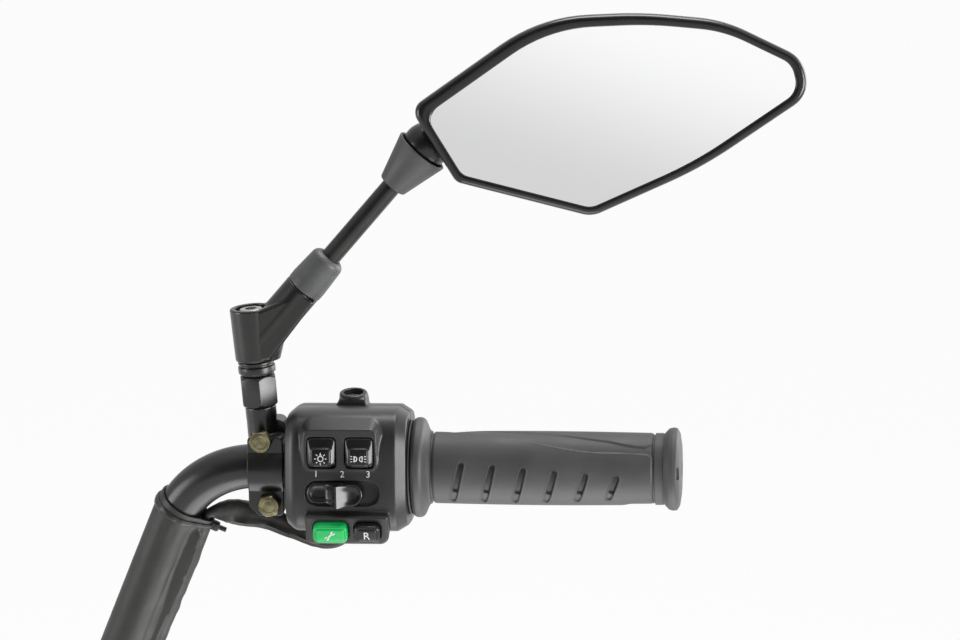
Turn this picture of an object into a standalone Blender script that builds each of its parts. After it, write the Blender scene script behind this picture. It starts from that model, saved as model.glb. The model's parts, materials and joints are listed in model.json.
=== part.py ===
"""Right-hand handlebar end of an electric scooter: bent bar, mirror on a clamp, switch case and twist grip.

Units are metres, +Z is up, +X runs along the grip to its outer end and +Y points away from the rider.
The origin is the centre of the bar's cut lower end, where the stem holds it. Most pieces are placed from the
bar datum: the point on the grip's axis where the switch case meets the throttle grip.
"""
from math import atan2, cos, pi, radians, sin, tan

import bmesh
import bpy
from mathutils import Matrix, Vector

for old in list(bpy.data.objects):
    bpy.data.objects.remove(old, do_unlink=True)

# Clearances
GAP = 0.0003
SPLIT_GAP = 0.0004
ROCKER_CLEARANCE = 0.0007
TURNING_CLEARANCE = 0.0005

# Bar tube: straight under the grip, bent down and forward, cut square at its lower end
BAR_DIAMETER = 0.0222
BAR_WALL = 0.002
BAR_REACH = 0.126
BEND_START = 0.0775
BEND_RADIUS = 0.047
BEND_TURN = 67.2
BEND_RAKE = 11.9
LEG_LENGTH = 0.110
PLUG_DEPTH = 0.014
PLUG_HEAD = 0.0017

# Soft sleeve over the leg, with a lobe round the lead
SLEEVE_WALL = 0.001
SLEEVE_START = -0.0095
SLEEVE_END = 0.090
LOBE_HEIGHT = 0.0072
LOBE_SWELL = 0.0022
LOBE_SHARPNESS = 10
TIE_WIDTH = 0.0034
TIE_THICKNESS = 0.0012
TIE_OFFSET = 0.0012
TIE_HEAD = 0.0052

# Lead: half height and half thickness where it is round and where its sheath lies flat
LOOM_RADIUS = 0.0026
LOOM_TALL = 0.0062
LOOM_FLAT = 0.0032
CONNECTOR_REACH = 0.0016
CONNECTOR_LENGTH = 0.014
CONNECTOR_WIDTH = 0.009
CONNECTOR_DEPTH = 0.0066
GLAND_RADIUS = 0.0058
GLAND_LENGTH = 0.006
GLAND_X = -0.036
GLAND_Y = 0.007

# Mirror clamp, with a leaning neck
CLAMP_WIDTH = 0.0178
CLAMP_CENTRE = -0.0716
CLAMP_RADIUS = 0.0158
CLAMP_EAR_DEPTH = 0.0125
CLAMP_BOLT_SPACING = 0.0164
CLAMP_BOLT_STAGGER = 0.0017
CLAMP_EAR_MARGIN = 0.0062
CLAMP_EAR_SLOPE = 0.0035
FRONT_SHOULDER = 0.018
REAR_EAR_TOP = 0.024
BOLT_RADIUS = 0.003
BOLT_HEAD_FLATS = 0.0105
BOLT_HEAD_HEIGHT = 0.0045
BOLT_LENGTH = 0.021
NECK_X = -0.0728
NECK_LEAN = 4.0
NECK_DIAMETER = 0.0155
NECK_TOP = 0.0315
NECK_BASE = 0.0115

# Swivel stack on the neck: lock nut, collar, elbow block and the bolt through them
NUT_FLATS = 0.0172
NUT_HEIGHT = 0.0158
NUT_TURN = 11.0
COLLAR_DIAMETER = 0.0186
COLLAR_HEIGHT = 0.0068
BLOCK_DIAMETER_TOP = 0.0212
BLOCK_DIAMETER_BOTTOM = 0.0202
BLOCK_HEIGHT = 0.0268
BLOCK_RECESS = 0.0034
BLOCK_RECESS_DIAMETER = 0.0156
SWIVEL_BOLT_RADIUS = 0.004
SWIVEL_HEAD_DIAMETER = 0.0115
SWIVEL_HEAD_HEIGHT = 0.0026
SWIVEL_SOCKET_RADIUS = 0.0032
ARM_ANGLE = 45.0
ARM_LIFT = 0.0072
ARM_DIAMETER = 0.0190
ARM_LENGTH = 0.0388

# Mirror stem with its boot and its ball
BOOT_LENGTH = 0.0209
BOOT_DIAMETER = 0.0192
BOOT_TOP_DIAMETER = 0.0172
BOOT_WALL = 0.0022
STEM_DIAMETER = 0.0098
STEM_THREAD_DEPTH = 0.016
STEM_NUT_FLATS = 0.012
STEM_NUT_HEIGHT = 0.008
CONE_START = 0.1079
CONE_LENGTH = 0.0231
CONE_SMALL_DIAMETER = 0.0146
CONE_LARGE_DIAMETER = 0.0274
CONE_WALL = 0.0013
BALL_OVER_CONE = 0.003
BALL_RADIUS = 0.0072
SEAT_WALL = 0.0013
SOCKET_WALL = 0.0026
SOCKET_OPENING = 47.0

# Mirror head: corners of the outline seen by the rider, with the radius of each, from the ball's centre
MIRROR_YAW = 7.0
MIRROR_PITCH = -5.0
MIRROR_CORNERS = (
    (-0.0073, 0.0193, 0.006),
    (0.0567, 0.0626, 0.045),
    (0.1048, 0.0638, 0.200),
    (0.1446, 0.0586, 0.050),
    (0.1830, 0.0398, 0.013),
    (0.1867, 0.0229, 0.012),
    (0.1331, -0.0107, 0.200),
    (0.0790, -0.0342, 0.012),
    (0.0139, -0.0164, 0.006),
)
RIM_WIDTHS = (0.0068, 0.0058, 0.0053, 0.0049, 0.0056, 0.0046, 0.0043, 0.0042, 0.0044)
MIRROR_FRONT = 0.018
BEZEL_DEPTH = 0.0055
BEZEL_SLOPE = 0.0016
SHELL_WALL = 0.0022
SHELL_DEPTH = 0.021
SHELL_SHRINK = 0.34
GLASS_THICKNESS = 0.002
PAD_THICKNESS = 0.0015
GLASS_SINK = 0.0012
GLASS_LAP = 0.0012

# Switch case, turned on the bar towards the rider
CASE_TILT = 7.0
CASE_LENGTH = 0.0603
CASE_HALF_HEIGHT = 0.031
CASE_HALF_DEPTH = 0.028
CASE_SQUARENESS = 3.6
CASE_LEFT_CHAMFER = 0.004
CASE_RIGHT_CHAMFER = 0.0053
CASE_WALL = 0.003
CASE_FRONT_WALL = 0.004
RIB_POSITION = 0.0265
RIB_THICKNESS = 0.0028
LUG_X = -0.0294
LUG_WIDTH = 0.0168
LUG_HEIGHT = 0.0062
LUG_TAPER = 0.0022
LUG_DEPTH = 0.012
LUG_LEAN = 12.0
LUG_SCREW_RADIUS = 0.0044
CASE_SCREW_X = -0.038
CASE_SCREW_Z = 0.0232
CASE_SCREW_RADIUS = 0.0018
CASE_SCREW_HEAD = 0.0032
CASE_SCREW_SEAT = 0.017
CASE_SCREW_REACH = 0.010
CASE_BOSS_RADIUS = 0.0042

# Hood with the two rocker keys
HOOD_LEFT = -0.0498
HOOD_RIGHT = -0.0143
HOOD_TOP = 0.0226
HOOD_BOTTOM = 0.002
HOOD_PROUD = 0.0003
HOOD_BEVEL = 0.0048
HOOD_DEPTH = 0.0072
KEY_WIDTH = 0.0139
KEY_HEIGHT = 0.0148
KEY_LEFT_X = -0.04135
KEY_RIGHT_X = -0.02265
KEY_Z = 0.0111
KEY_PROUD = 0.0041
KEY_SLOPE = 0.0052
KEY_BEVEL = 0.0012
KEY_BACK = 0.0021
ROCKER_PIN_SETBACK = 0.002
ROCKER_PIN_RADIUS = 0.0009
ROCKER_PIN_OVERHANG = 0.0022
CONTACT_DEPTH = 0.0021
CONTACT_WIDTH = 0.008
CONTACT_HEIGHT = 0.010

# Speed slider
SLOT_LEFT = -0.0497
SLOT_LENGTH = 0.0367
SLOT_HEIGHT = 0.0122
SLOT_Z = -0.0095
SLOT_DEPTH = 0.0022
SLIDER_TRAVEL = 0.007
SLIDER_PLATE = 0.0027
SLIDER_FIN = 0.0088
SLIDER_FIN_BASE = 0.015
SLIDER_FIN_TIP = 0.0036
SLIDER_FIN_HEIGHT = 0.0094
SLIDER_FIN_DROP = 0.004
SLIDER_FIN_SHIFT = 0.0019
SLIDER_STEM = 0.006
SLIDER_STEM_HEIGHT = 0.005
CARRIAGE_LENGTH = 0.016
CARRIAGE_HEIGHT = 0.0085
CARRIAGE_THICKNESS = 0.0016
SLIDER_CONTACT_LENGTH = 0.022
SLIDER_CONTACT_HEIGHT = 0.006
SLIDER_CONTACT_DEPTH = 0.0016

# Button pod under the slider
POD_TILT = 22.0
POD_X = -0.0290
POD_Y = -0.0290
POD_Z = -0.0280
POD_WIDTH = 0.0414
POD_HEIGHT = 0.0158
POD_DEPTH = 0.0115
POD_WALL = 0.0018
POD_CORNER = 0.0045
BUTTON_HEIGHT = 0.0096
BUTTON_PROUD = 0.005
BUTTON_TRAVEL = 0.0025
BUTTON_FLANGE = 0.0008
BUTTON_FLANGE_THICKNESS = 0.0012
BUTTON_RADIUS = 0.003
REPAIR_X = -0.0079
REPAIR_WIDTH = 0.0172
REVERSE_X = 0.0103
REVERSE_WIDTH = 0.0128
BUTTON_BOARD_THICKNESS = 0.001
TACT_SIZE = 0.006

# Switch board inside the front half
BOARD_THICKNESS = 0.0016
BOARD_SETBACK = 0.0098
BOARD_LEFT = -0.0562
BOARD_RIGHT = -0.0172
BOARD_HALF_HEIGHT = 0.017
POST_X = -0.0532
POST_Z = 0.0128
POST_RADIUS = 0.0022
BOARD_SCREW_RADIUS = 0.001
BOARD_SCREW_GRIP = 0.004

# Throttle: tube with its drum, grip with its collar and end flange
THROTTLE_WALL = 0.0022
DRUM_RADIUS = 0.0168
DRUM_LENGTH = 0.0125
SPRING_WALL = 0.0032
SPRING_LENGTH = 0.0062
MAGNET_SIZE = (0.006, 0.008, 0.0022)
SENSOR_SIZE = (0.0052, 0.006, 0.003)
MAGNET_ANGLE = 60.0
SEAL_THICKNESS = 0.001
SEAL_RADIUS = 0.0236
COLLAR_RADIUS = 0.025
COLLAR_LENGTH = 0.0078
COLLAR_ROUND = 0.0042
GRIP_RADIUS = 0.0179
GRIP_BARREL = 0.0006
GRIP_GROOVE = 0.0009
GRIP_RING_RADIUS = 0.0179
GRIP_RING_LENGTH = 0.006
FLANGE_RADIUS = 0.0207
FLANGE_LENGTH = 0.0074
END_DOME = 0.0008
END_DOME_SHARE = 0.7
GRIP_END_WALL = 0.0058
GRIP_END_ROOM = 0.0016
GRIP_SLOT_COUNT = 6
GRIP_SLOT_X = 0.0262
GRIP_SLOT_PITCH = 0.01545
GRIP_SLOT_WIDTH = 0.0028
GRIP_SLOT_SLANT = 0.0052
GRIP_SLOT_CUT = 0.0011
GRIP_SLOT_TOP = 18.0
GRIP_SLOT_STEP = 4.0
GRIP_SLOT_BOTTOM = -46.0

# Facets round turned pieces
SIDES_LARGE = 32
SIDES = 24
SIDES_SMALL = 14

BAR_RADIUS = BAR_DIAMETER / 2
FLANGE_END = BAR_REACH + GAP + PLUG_HEAD + GRIP_END_ROOM + GRIP_END_WALL - END_DOME
FLANGE_START = FLANGE_END - FLANGE_LENGTH
GRIP_PAD_END = FLANGE_START - GRIP_RING_LENGTH
UP = Vector((0.0, 0.0, 1.0))
ALONG = Vector((1.0, 0.0, 0.0))
RAKE = Vector((0.0, sin(radians(BEND_RAKE)), -cos(radians(BEND_RAKE))))
BEND_NORMAL = ALONG.cross(RAKE)
TURN = radians(BEND_TURN)


# Finishes: colour, roughness and metallic value of each material
FINISHES = {
    "black_paint": ((0.030, 0.030, 0.029), 0.32, 0.0),
    "satin_plastic": ((0.034, 0.034, 0.034), 0.48, 0.0),
    "gloss_plastic": ((0.010, 0.010, 0.010), 0.18, 0.0),
    "rubber": ((0.040, 0.040, 0.039), 0.62, 0.0),
    "grey_rubber": ((0.090, 0.092, 0.090), 0.50, 0.0),
    "sleeve_vinyl": ((0.045, 0.043, 0.040), 0.40, 0.0),
    "zinc_gold": ((0.270, 0.235, 0.110), 0.38, 0.9),
    "steel": ((0.420, 0.420, 0.410), 0.32, 1.0),
    "mirror": ((0.900, 0.910, 0.910), 0.03, 1.0),
    "foam": ((0.060, 0.060, 0.060), 0.90, 0.0),
    "nylon": ((0.780, 0.770, 0.720), 0.45, 0.0),
    "green_plastic": ((0.002, 0.520, 0.105), 0.35, 0.0),
    "board": ((0.020, 0.160, 0.060), 0.50, 0.0),
    "magnet": ((0.160, 0.160, 0.170), 0.35, 1.0),
}


def new_object(name, mesh, parent):
    obj = bpy.data.objects.new(name, mesh)
    bpy.context.collection.objects.link(obj)
    obj.parent = parent
    return obj


def frame(name, parent, location, rotation=None):
    empty = new_object(name, None, parent)
    turn = rotation.to_4x4() if rotation else Matrix.Identity(4)
    empty.matrix_local = Matrix.Translation(location) @ turn
    empty.empty_display_size = 0.01
    return empty


def turned_frame(name, parent, location, axis, degrees):
    return frame(name, parent, location, Matrix.Rotation(radians(degrees), 3, axis))


def finish(obj, look):
    colour, roughness, metallic = FINISHES[look]
    material = bpy.data.materials.new(obj.name)
    material.use_nodes = True
    shader = material.node_tree.nodes["Principled BSDF"]
    shader.inputs["Base Color"].default_value = (*colour, 1.0)
    shader.inputs["Roughness"].default_value = roughness
    shader.inputs["Metallic"].default_value = metallic
    obj.data.materials.append(material)
    obj.data.shade_smooth()
    obj.data.set_sharp_from_angle(angle=radians(35))
    return obj


def loft_mesh(name, rings, closed=False):
    """Skin of quads through rings of equally many points; an open loft is capped at both ends."""
    count = len(rings[0])
    points = [point for ring in rings for point in ring]
    last = len(rings) if closed else len(rings) - 1
    faces = []
    for start in range(last):
        following = (start + 1) % len(rings)
        for k in range(count):
            step = (k + 1) % count
            corners = (start * count + k, start * count + step, following * count + step, following * count + k)
            faces.append(corners)
    if not closed:
        faces.append(tuple(range(count))[::-1])
        faces.append(tuple(range((len(rings) - 1) * count, len(rings) * count)))
    mesh = bpy.data.meshes.new(name)
    mesh.from_pydata(points, [], faces)
    outward(mesh)
    return mesh


def outward(mesh):
    bm = bmesh.new()
    bm.from_mesh(mesh)
    bmesh.ops.recalc_face_normals(bm, faces=bm.faces)
    bm.to_mesh(mesh)
    bm.free()


def loft(name, parent, look, rings, closed=False):
    return finish(new_object(name, loft_mesh(name, rings, closed), parent), look)


def circle(radius, along, sides, axis="X", centre=(0.0, 0.0)):
    """Ring of points round an axis of the frame; centre offsets it in the other two directions."""
    ring = []
    for k in range(sides):
        angle = 2 * pi * k / sides
        a = centre[0] + radius * cos(angle)
        b = centre[1] + radius * sin(angle)
        ring.append({"X": (along, a, b), "Y": (a, along, b), "Z": (a, b, along)}[axis])
    return ring


def turned_rings(profile, sides, axis="X", centre=(0.0, 0.0)):
    return [circle(radius, along, sides, axis, centre) for along, radius in profile]


def turned(name, parent, look, profile, sides=SIDES, axis="X", centre=(0.0, 0.0), closed=False):
    return loft(name, parent, look, turned_rings(profile, sides, axis, centre), closed)


def rounded(corners, steps=3):
    """Outline through corners (a, b, radius), each corner rounded by an arc of steps spans."""
    outline = []
    for k, (a, b, radius) in enumerate(corners):
        here = Vector((a, b))
        before = (Vector(corners[k - 1][:2]) - here).normalized()
        after = (Vector(corners[(k + 1) % len(corners)][:2]) - here).normalized()
        half = before.angle(after) / 2
        middle = (before + after).normalized()
        centre = here + middle * radius / sin(half)
        first = here + before * radius / tan(half) - centre
        sweep = first.angle_signed(here + after * radius / tan(half) - centre)
        for step in range(steps + 1):
            turn = Matrix.Rotation(-sweep * step / steps, 2)
            outline.append(centre + turn @ first)
    return outline


def rounded_box(half_width, half_height, radius, steps=3):
    corners = ((-1, -1), (1, -1), (1, 1), (-1, 1))
    return rounded([(half_width * a, half_height * b, radius) for a, b in corners], steps)


def plate_rings(outline, levels, centre=(0.0, 0.0)):
    """The same outline in X and Z at each level of Y, grown by the level's second value."""
    rings = []
    middle = sum(outline, Vector((0.0, 0.0))) / len(outline)
    for level, grow in levels:
        ring = []
        for point in outline:
            out = point + (point - middle).normalized() * grow
            ring.append((centre[0] + out.x, level, centre[1] + out.y))
        rings.append(ring)
    return rings


def block(low, high):
    """Rings of a plain box between two corners."""
    rings = []
    for y in (low[1], high[1]):
        rings.append([(low[0], y, low[2]), (high[0], y, low[2]), (high[0], y, high[2]), (low[0], y, high[2])])
    return rings


def tool(name, parent, rings, closed=False):
    """Hidden shape for a Boolean."""
    obj = new_object(name, loft_mesh(name, rings, closed), parent)
    obj.hide_render = True
    obj.display_type = "WIRE"
    return obj


def combine(obj, operation, *tools):
    for shape in tools:
        modifier = obj.modifiers.new(shape.name, "BOOLEAN")
        modifier.operation = operation
        modifier.solver = "EXACT"
        modifier.object = shape
    return obj


def cut(obj, *tools):
    return combine(obj, "DIFFERENCE", *tools)


def fuse(obj, *tools):
    return combine(obj, "UNION", *tools)


def soften(obj, width, segments=2):
    modifier = obj.modifiers.new("soft_edges", "BEVEL")
    modifier.width = width
    modifier.segments = segments
    modifier.limit_method = "ANGLE"
    modifier.angle_limit = radians(40)
    return obj


def bend_point(turn):
    return Vector((-BEND_START - BEND_RADIUS * sin(turn), 0.0, 0.0)) + RAKE * BEND_RADIUS * (1 - cos(turn))


def bend_inward(turn):
    return RAKE * cos(turn) + ALONG * sin(turn)


LEG_DIRECTION = -ALONG * cos(TURN) + RAKE * sin(TURN)
LEG_INWARD = bend_inward(TURN)


def leg_point(distance):
    """Point on the bar's axis at a distance past the end of the bend; before it the distance is negative."""
    if distance < 0.0:
        return bend_point(TURN + distance / BEND_RADIUS)
    return bend_point(TURN) + LEG_DIRECTION * distance


def leg_inward(distance):
    return bend_inward(TURN + min(distance, 0.0) / BEND_RADIUS)


def ring_on_bar(centre, inward, radius, sides):
    ring = []
    for k in range(sides):
        angle = 2 * pi * k / sides
        ring.append(centre + (inward * cos(angle) + BEND_NORMAL * sin(angle)) * radius)
    return ring


DATUM = frame("bar_datum", None, -leg_point(LEG_LENGTH))


def make_bar():
    steps = 9
    stations = [(ALONG * BAR_REACH, RAKE)]
    stations += [(bend_point(TURN * k / steps), bend_inward(TURN * k / steps)) for k in range(steps + 1)]
    stations.append((leg_point(LEG_LENGTH), LEG_INWARD))
    outer = [ring_on_bar(centre, inward, BAR_RADIUS, SIDES) for centre, inward in stations]
    inner = [ring_on_bar(centre, inward, BAR_RADIUS - BAR_WALL, SIDES) for centre, inward in stations]
    loft("handlebar_tube", DATUM, "black_paint", outer + inner[::-1], closed=True)

    bore = BAR_RADIUS - BAR_WALL - GAP
    head = BAR_REACH + GAP
    profile = [(BAR_REACH - PLUG_DEPTH, bore), (head, bore), (head, BAR_RADIUS), (head + PLUG_HEAD, BAR_RADIUS)]
    turned("bar_end_plug", DATUM, "satin_plastic", profile)


def sleeve_ring(distance, offset, sides=26):
    """Outline of the sleeve: the bar's circle with a lobe on the inner side of the bend, round the lead."""
    share = (distance - SLEEVE_START) / (SLEEVE_END - SLEEVE_START)
    lobe = LOBE_HEIGHT + LOBE_SWELL * sin(pi * share)
    ring = []
    for k in range(sides):
        angle = 2 * pi * (k + 0.5) / sides
        bulge = lobe * max(0.0, cos(angle)) ** LOBE_SHARPNESS
        radius = BAR_RADIUS + GAP + SLEEVE_WALL + bulge + offset
        direction = leg_inward(distance) * cos(angle) + BEND_NORMAL * sin(angle)
        ring.append(leg_point(distance) + direction * radius)
    return ring


def make_sleeve():
    spans = 4
    places = [SLEEVE_START, SLEEVE_START / 2] + [SLEEVE_END * k / spans for k in range(spans + 1)]
    outer = [sleeve_ring(place, 0.0) for place in places]
    inner = [sleeve_ring(place, -SLEEVE_WALL) for place in places]
    loft("cable_sleeve", DATUM, "sleeve_vinyl", outer + inner[::-1], closed=True)

    near = SLEEVE_START + TIE_OFFSET
    far = near + TIE_WIDTH
    low, high = GAP, GAP + TIE_THICKNESS
    band = [sleeve_ring(near, low), sleeve_ring(near, high), sleeve_ring(far, high), sleeve_ring(far, low)]
    tie = loft("sleeve_tie", DATUM, "satin_plastic", band, closed=True)
    reach = BAR_RADIUS + GAP + SLEEVE_WALL + LOBE_HEIGHT + GAP + TIE_THICKNESS / 2
    inward = leg_inward((near + far) / 2)
    middle = leg_point((near + far) / 2) + inward * (reach + TIE_HEAD / 2)
    turn = Matrix((inward, BEND_NORMAL, inward.cross(BEND_NORMAL))).transposed()
    place = frame("tie_head_place", DATUM, middle, turn)
    half = TIE_HEAD / 2
    fuse(tie, tool("tie_head", place, block((-half, -half, -half), (half, half, half))))


def loom_route():
    """Places of the lead with its half height and half thickness, from the connector up to the case."""
    beside = BAR_RADIUS + GAP * 2 + LOOM_RADIUS
    route = []
    mouth = SLEEVE_START - LOOM_RADIUS
    for distance in (SLEEVE_END + CONNECTOR_REACH, SLEEVE_END / 2, 0.0, SLEEVE_START / 2, mouth):
        place = leg_point(distance) + leg_inward(distance) * beside
        route.append((*place, LOOM_RADIUS, LOOM_RADIUS))
    route += [
        (-0.0960, 0.0090, -0.0265, LOOM_TALL * 0.72, LOOM_FLAT * 0.9),
        (-0.0885, 0.0125, -0.0278, LOOM_TALL, LOOM_FLAT),
        (-0.0760, 0.0135, -0.0306, LOOM_TALL, LOOM_FLAT),
        (-0.0640, 0.0130, -0.0356, LOOM_TALL * 0.84, LOOM_FLAT),
        (-0.0530, 0.0110, -0.0402, LOOM_TALL * 0.68, LOOM_FLAT),
        (-0.0440, 0.0085, -0.0422, LOOM_FLAT, LOOM_FLAT),
    ]
    return route


def smooth(points, steps):
    """Catmull-Rom curve through the points, also through their extra values."""
    ends = [points[0]] + list(points) + [points[-1]]
    curve = []
    for k in range(len(points) - 1):
        a, b, c, d = (Vector(ends[k + n]) for n in range(4))
        for step in range(steps):
            t = step / steps
            bend = (2 * a - 5 * b + 4 * c - d) * t ** 2 + (3 * b - a - 3 * c + d) * t ** 3
            curve.append(b + ((c - a) * t + bend) / 2)
    curve.append(Vector(points[-1]))
    return curve


def gland_base():
    """Top of the gland on the case's underside, in the bar's frame."""
    down = Matrix.Rotation(radians(-CASE_TILT), 3, "X")
    return down @ Vector((GLAND_X, GLAND_Y, -CASE_HALF_HEIGHT + CASE_WALL))


def make_loom():
    down = Matrix.Rotation(radians(-CASE_TILT), 3, "X") @ UP
    tip = gland_base()
    route = loom_route()
    for share in (1.2, 0.55):
        below = tip - down * (CASE_WALL + GLAND_LENGTH * share)
        route.append((*below, LOOM_RADIUS, LOOM_RADIUS))
    route.append((*tip, LOOM_RADIUS, LOOM_RADIUS))
    curve = smooth(route, 2)
    rings = []
    for k, station in enumerate(curve):
        centre = Vector(station[:3])
        ahead = Vector(curve[min(k + 1, len(curve) - 1)][:3])
        behind = Vector(curve[max(k - 1, 0)][:3])
        tangent = (ahead - behind).normalized()
        across = (Vector((0.0, 1.0, 0.0)) - tangent * tangent.y).normalized()
        tall = across.cross(tangent)
        ring = []
        for side in range(10):
            angle = 2 * pi * side / 10
            ring.append(centre + tall * station[3] * cos(angle) + across * station[4] * sin(angle))
        rings.append(ring)
    loft("wiring_loom", DATUM, "sleeve_vinyl", rings)

    turn = Matrix((LEG_INWARD, BEND_NORMAL, LEG_DIRECTION)).transposed()
    beside = BAR_RADIUS + GAP * 2 + LOOM_RADIUS
    start = leg_point(SLEEVE_END + CONNECTOR_REACH + GAP) + LEG_INWARD * beside
    place = frame("connector_place", DATUM, start, turn)
    low = (-LOOM_RADIUS, -CONNECTOR_WIDTH / 2, 0.0)
    high = (CONNECTOR_DEPTH - LOOM_RADIUS, CONNECTOR_WIDTH / 2, CONNECTOR_LENGTH)
    soften(loft("loom_connector", place, "satin_plastic", block(low, high)), 0.0006)


def make_gland(case_frame):
    bottom = -CASE_HALF_HEIGHT - GLAND_LENGTH * 0.5
    top = -CASE_HALF_HEIGHT + CASE_WALL
    waist = GLAND_RADIUS - 0.0014
    inner = LOOM_RADIUS + GAP
    profile = [
        (bottom, inner),
        (bottom, waist),
        (-CASE_HALF_HEIGHT - GAP * 2, GLAND_RADIUS),
        (-CASE_HALF_HEIGHT - GAP * 2, waist),
        (top, waist),
        (top, inner),
    ]
    turned("loom_gland", case_frame, "rubber", profile, SIDES_SMALL, "Z", (GLAND_X, GLAND_Y), closed=True)
    hole = [(top + 0.004, waist + GAP), (-CASE_HALF_HEIGHT - 0.004, waist + GAP)]
    return tool("gland_hole", case_frame, turned_rings(hole, SIDES_SMALL, "Z", (GLAND_X, GLAND_Y)))


def clamp_outline(top, bottom):
    """Half of the clamp seen along the bar: a half round between an upper and a lower ear."""
    depth, radius = CLAMP_EAR_DEPTH, CLAMP_RADIUS
    points = [(SPLIT_GAP, top), (depth, top)]
    steps = 8
    edge = atan2((radius ** 2 - depth ** 2) ** 0.5, depth)
    for k in range(steps + 1):
        angle = edge - 2 * edge * k / steps
        points.append((radius * cos(angle), radius * sin(angle)))
    points += [(depth, bottom), (SPLIT_GAP, bottom)]
    return points


def clamp_half(name, side, top):
    left, right = CLAMP_CENTRE - CLAMP_WIDTH / 2, CLAMP_CENTRE + CLAMP_WIDTH / 2
    bottom = -CLAMP_BOLT_SPACING - CLAMP_EAR_MARGIN
    slope = CLAMP_EAR_SLOPE
    stations = ((left, top, bottom + slope * 2), (left + slope, top, bottom), (right, top, bottom))
    rings = []
    for x, high, low in stations:
        rings.append([(x, side * y, z) for y, z in clamp_outline(high, low)])
    return loft(name, DATUM, "black_paint", rings)


def hexagon(flats, along, turn=0.0):
    radius = flats / 2 / cos(pi / 6)
    return [(radius * cos(pi * k / 3 + turn), radius * sin(pi * k / 3 + turn), along) for k in range(6)]


def clamp_bolt(name, x, z):
    half = CLAMP_WIDTH / 2
    place = turned_frame(name + "_place", DATUM, (x, -CLAMP_EAR_DEPTH - GAP, z), "X", 90)
    head = BOLT_HEAD_HEIGHT
    rings = [
        hexagon(BOLT_HEAD_FLATS, 0.0),
        hexagon(BOLT_HEAD_FLATS, head * 0.8),
        hexagon(BOLT_HEAD_FLATS * 0.88, head),
    ]
    bolt = loft(name, place, "zinc_gold", rings)
    shank = turned_rings([(-BOLT_LENGTH, BOLT_RADIUS), (head / 2, BOLT_RADIUS)], SIDES_SMALL, "Z")
    fuse(bolt, tool(name + "_shank", place, shank))
    hole = [(-BOLT_LENGTH - GAP, BOLT_RADIUS + GAP), (half, BOLT_RADIUS + GAP)]
    return tool(name + "_hole", place, turned_rings(hole, SIDES_SMALL, "Z"))


def half_post(radius):
    """Front half of the neck, which runs down to the bar between the clamp's shoulders."""
    rings = []
    for z in (NECK_BASE, (NECK_FOOT + NECK_TOP) / 2):
        ring = []
        for k in range(SIDES // 2 + 1):
            angle = pi + 2 * pi * k / SIDES
            ring.append((radius * cos(angle), min(radius * sin(angle), -SPLIT_GAP), z))
        rings.append(ring)
    return rings


def make_clamp(neck):
    front = clamp_half("clamp_front", -1.0, FRONT_SHOULDER)
    rear = clamp_half("clamp_rear", 1.0, REAR_EAR_TOP)
    bore = [(CLAMP_CENTRE - CLAMP_WIDTH, BAR_RADIUS + GAP), (CLAMP_CENTRE + CLAMP_WIDTH, BAR_RADIUS + GAP)]
    bar_bore = tool("clamp_bore", DATUM, turned_rings(bore, SIDES))
    radius = NECK_DIAMETER / 2
    foot = NECK_FOOT
    post = tool("neck_post", neck, turned_rings([(foot, radius), (NECK_TOP, radius)], SIDES, "Z"))
    thread = [(foot, SWIVEL_BOLT_RADIUS + GAP), (NECK_TOP + foot, SWIVEL_BOLT_RADIUS + GAP)]
    thread_hole = tool("neck_thread", neck, turned_rings(thread, SIDES_SMALL, "Z"))
    upper = clamp_bolt("clamp_bolt_upper", CLAMP_CENTRE - CLAMP_BOLT_STAGGER, CLAMP_BOLT_SPACING)
    lower = clamp_bolt("clamp_bolt_lower", CLAMP_CENTRE + CLAMP_BOLT_STAGGER, -CLAMP_BOLT_SPACING)
    fuse(front, tool("neck_front", neck, half_post(radius - GAP / 2)), post)
    cut(front, bar_bore, upper, lower, thread_hole)
    cut(rear, bar_bore, upper, lower)


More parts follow.
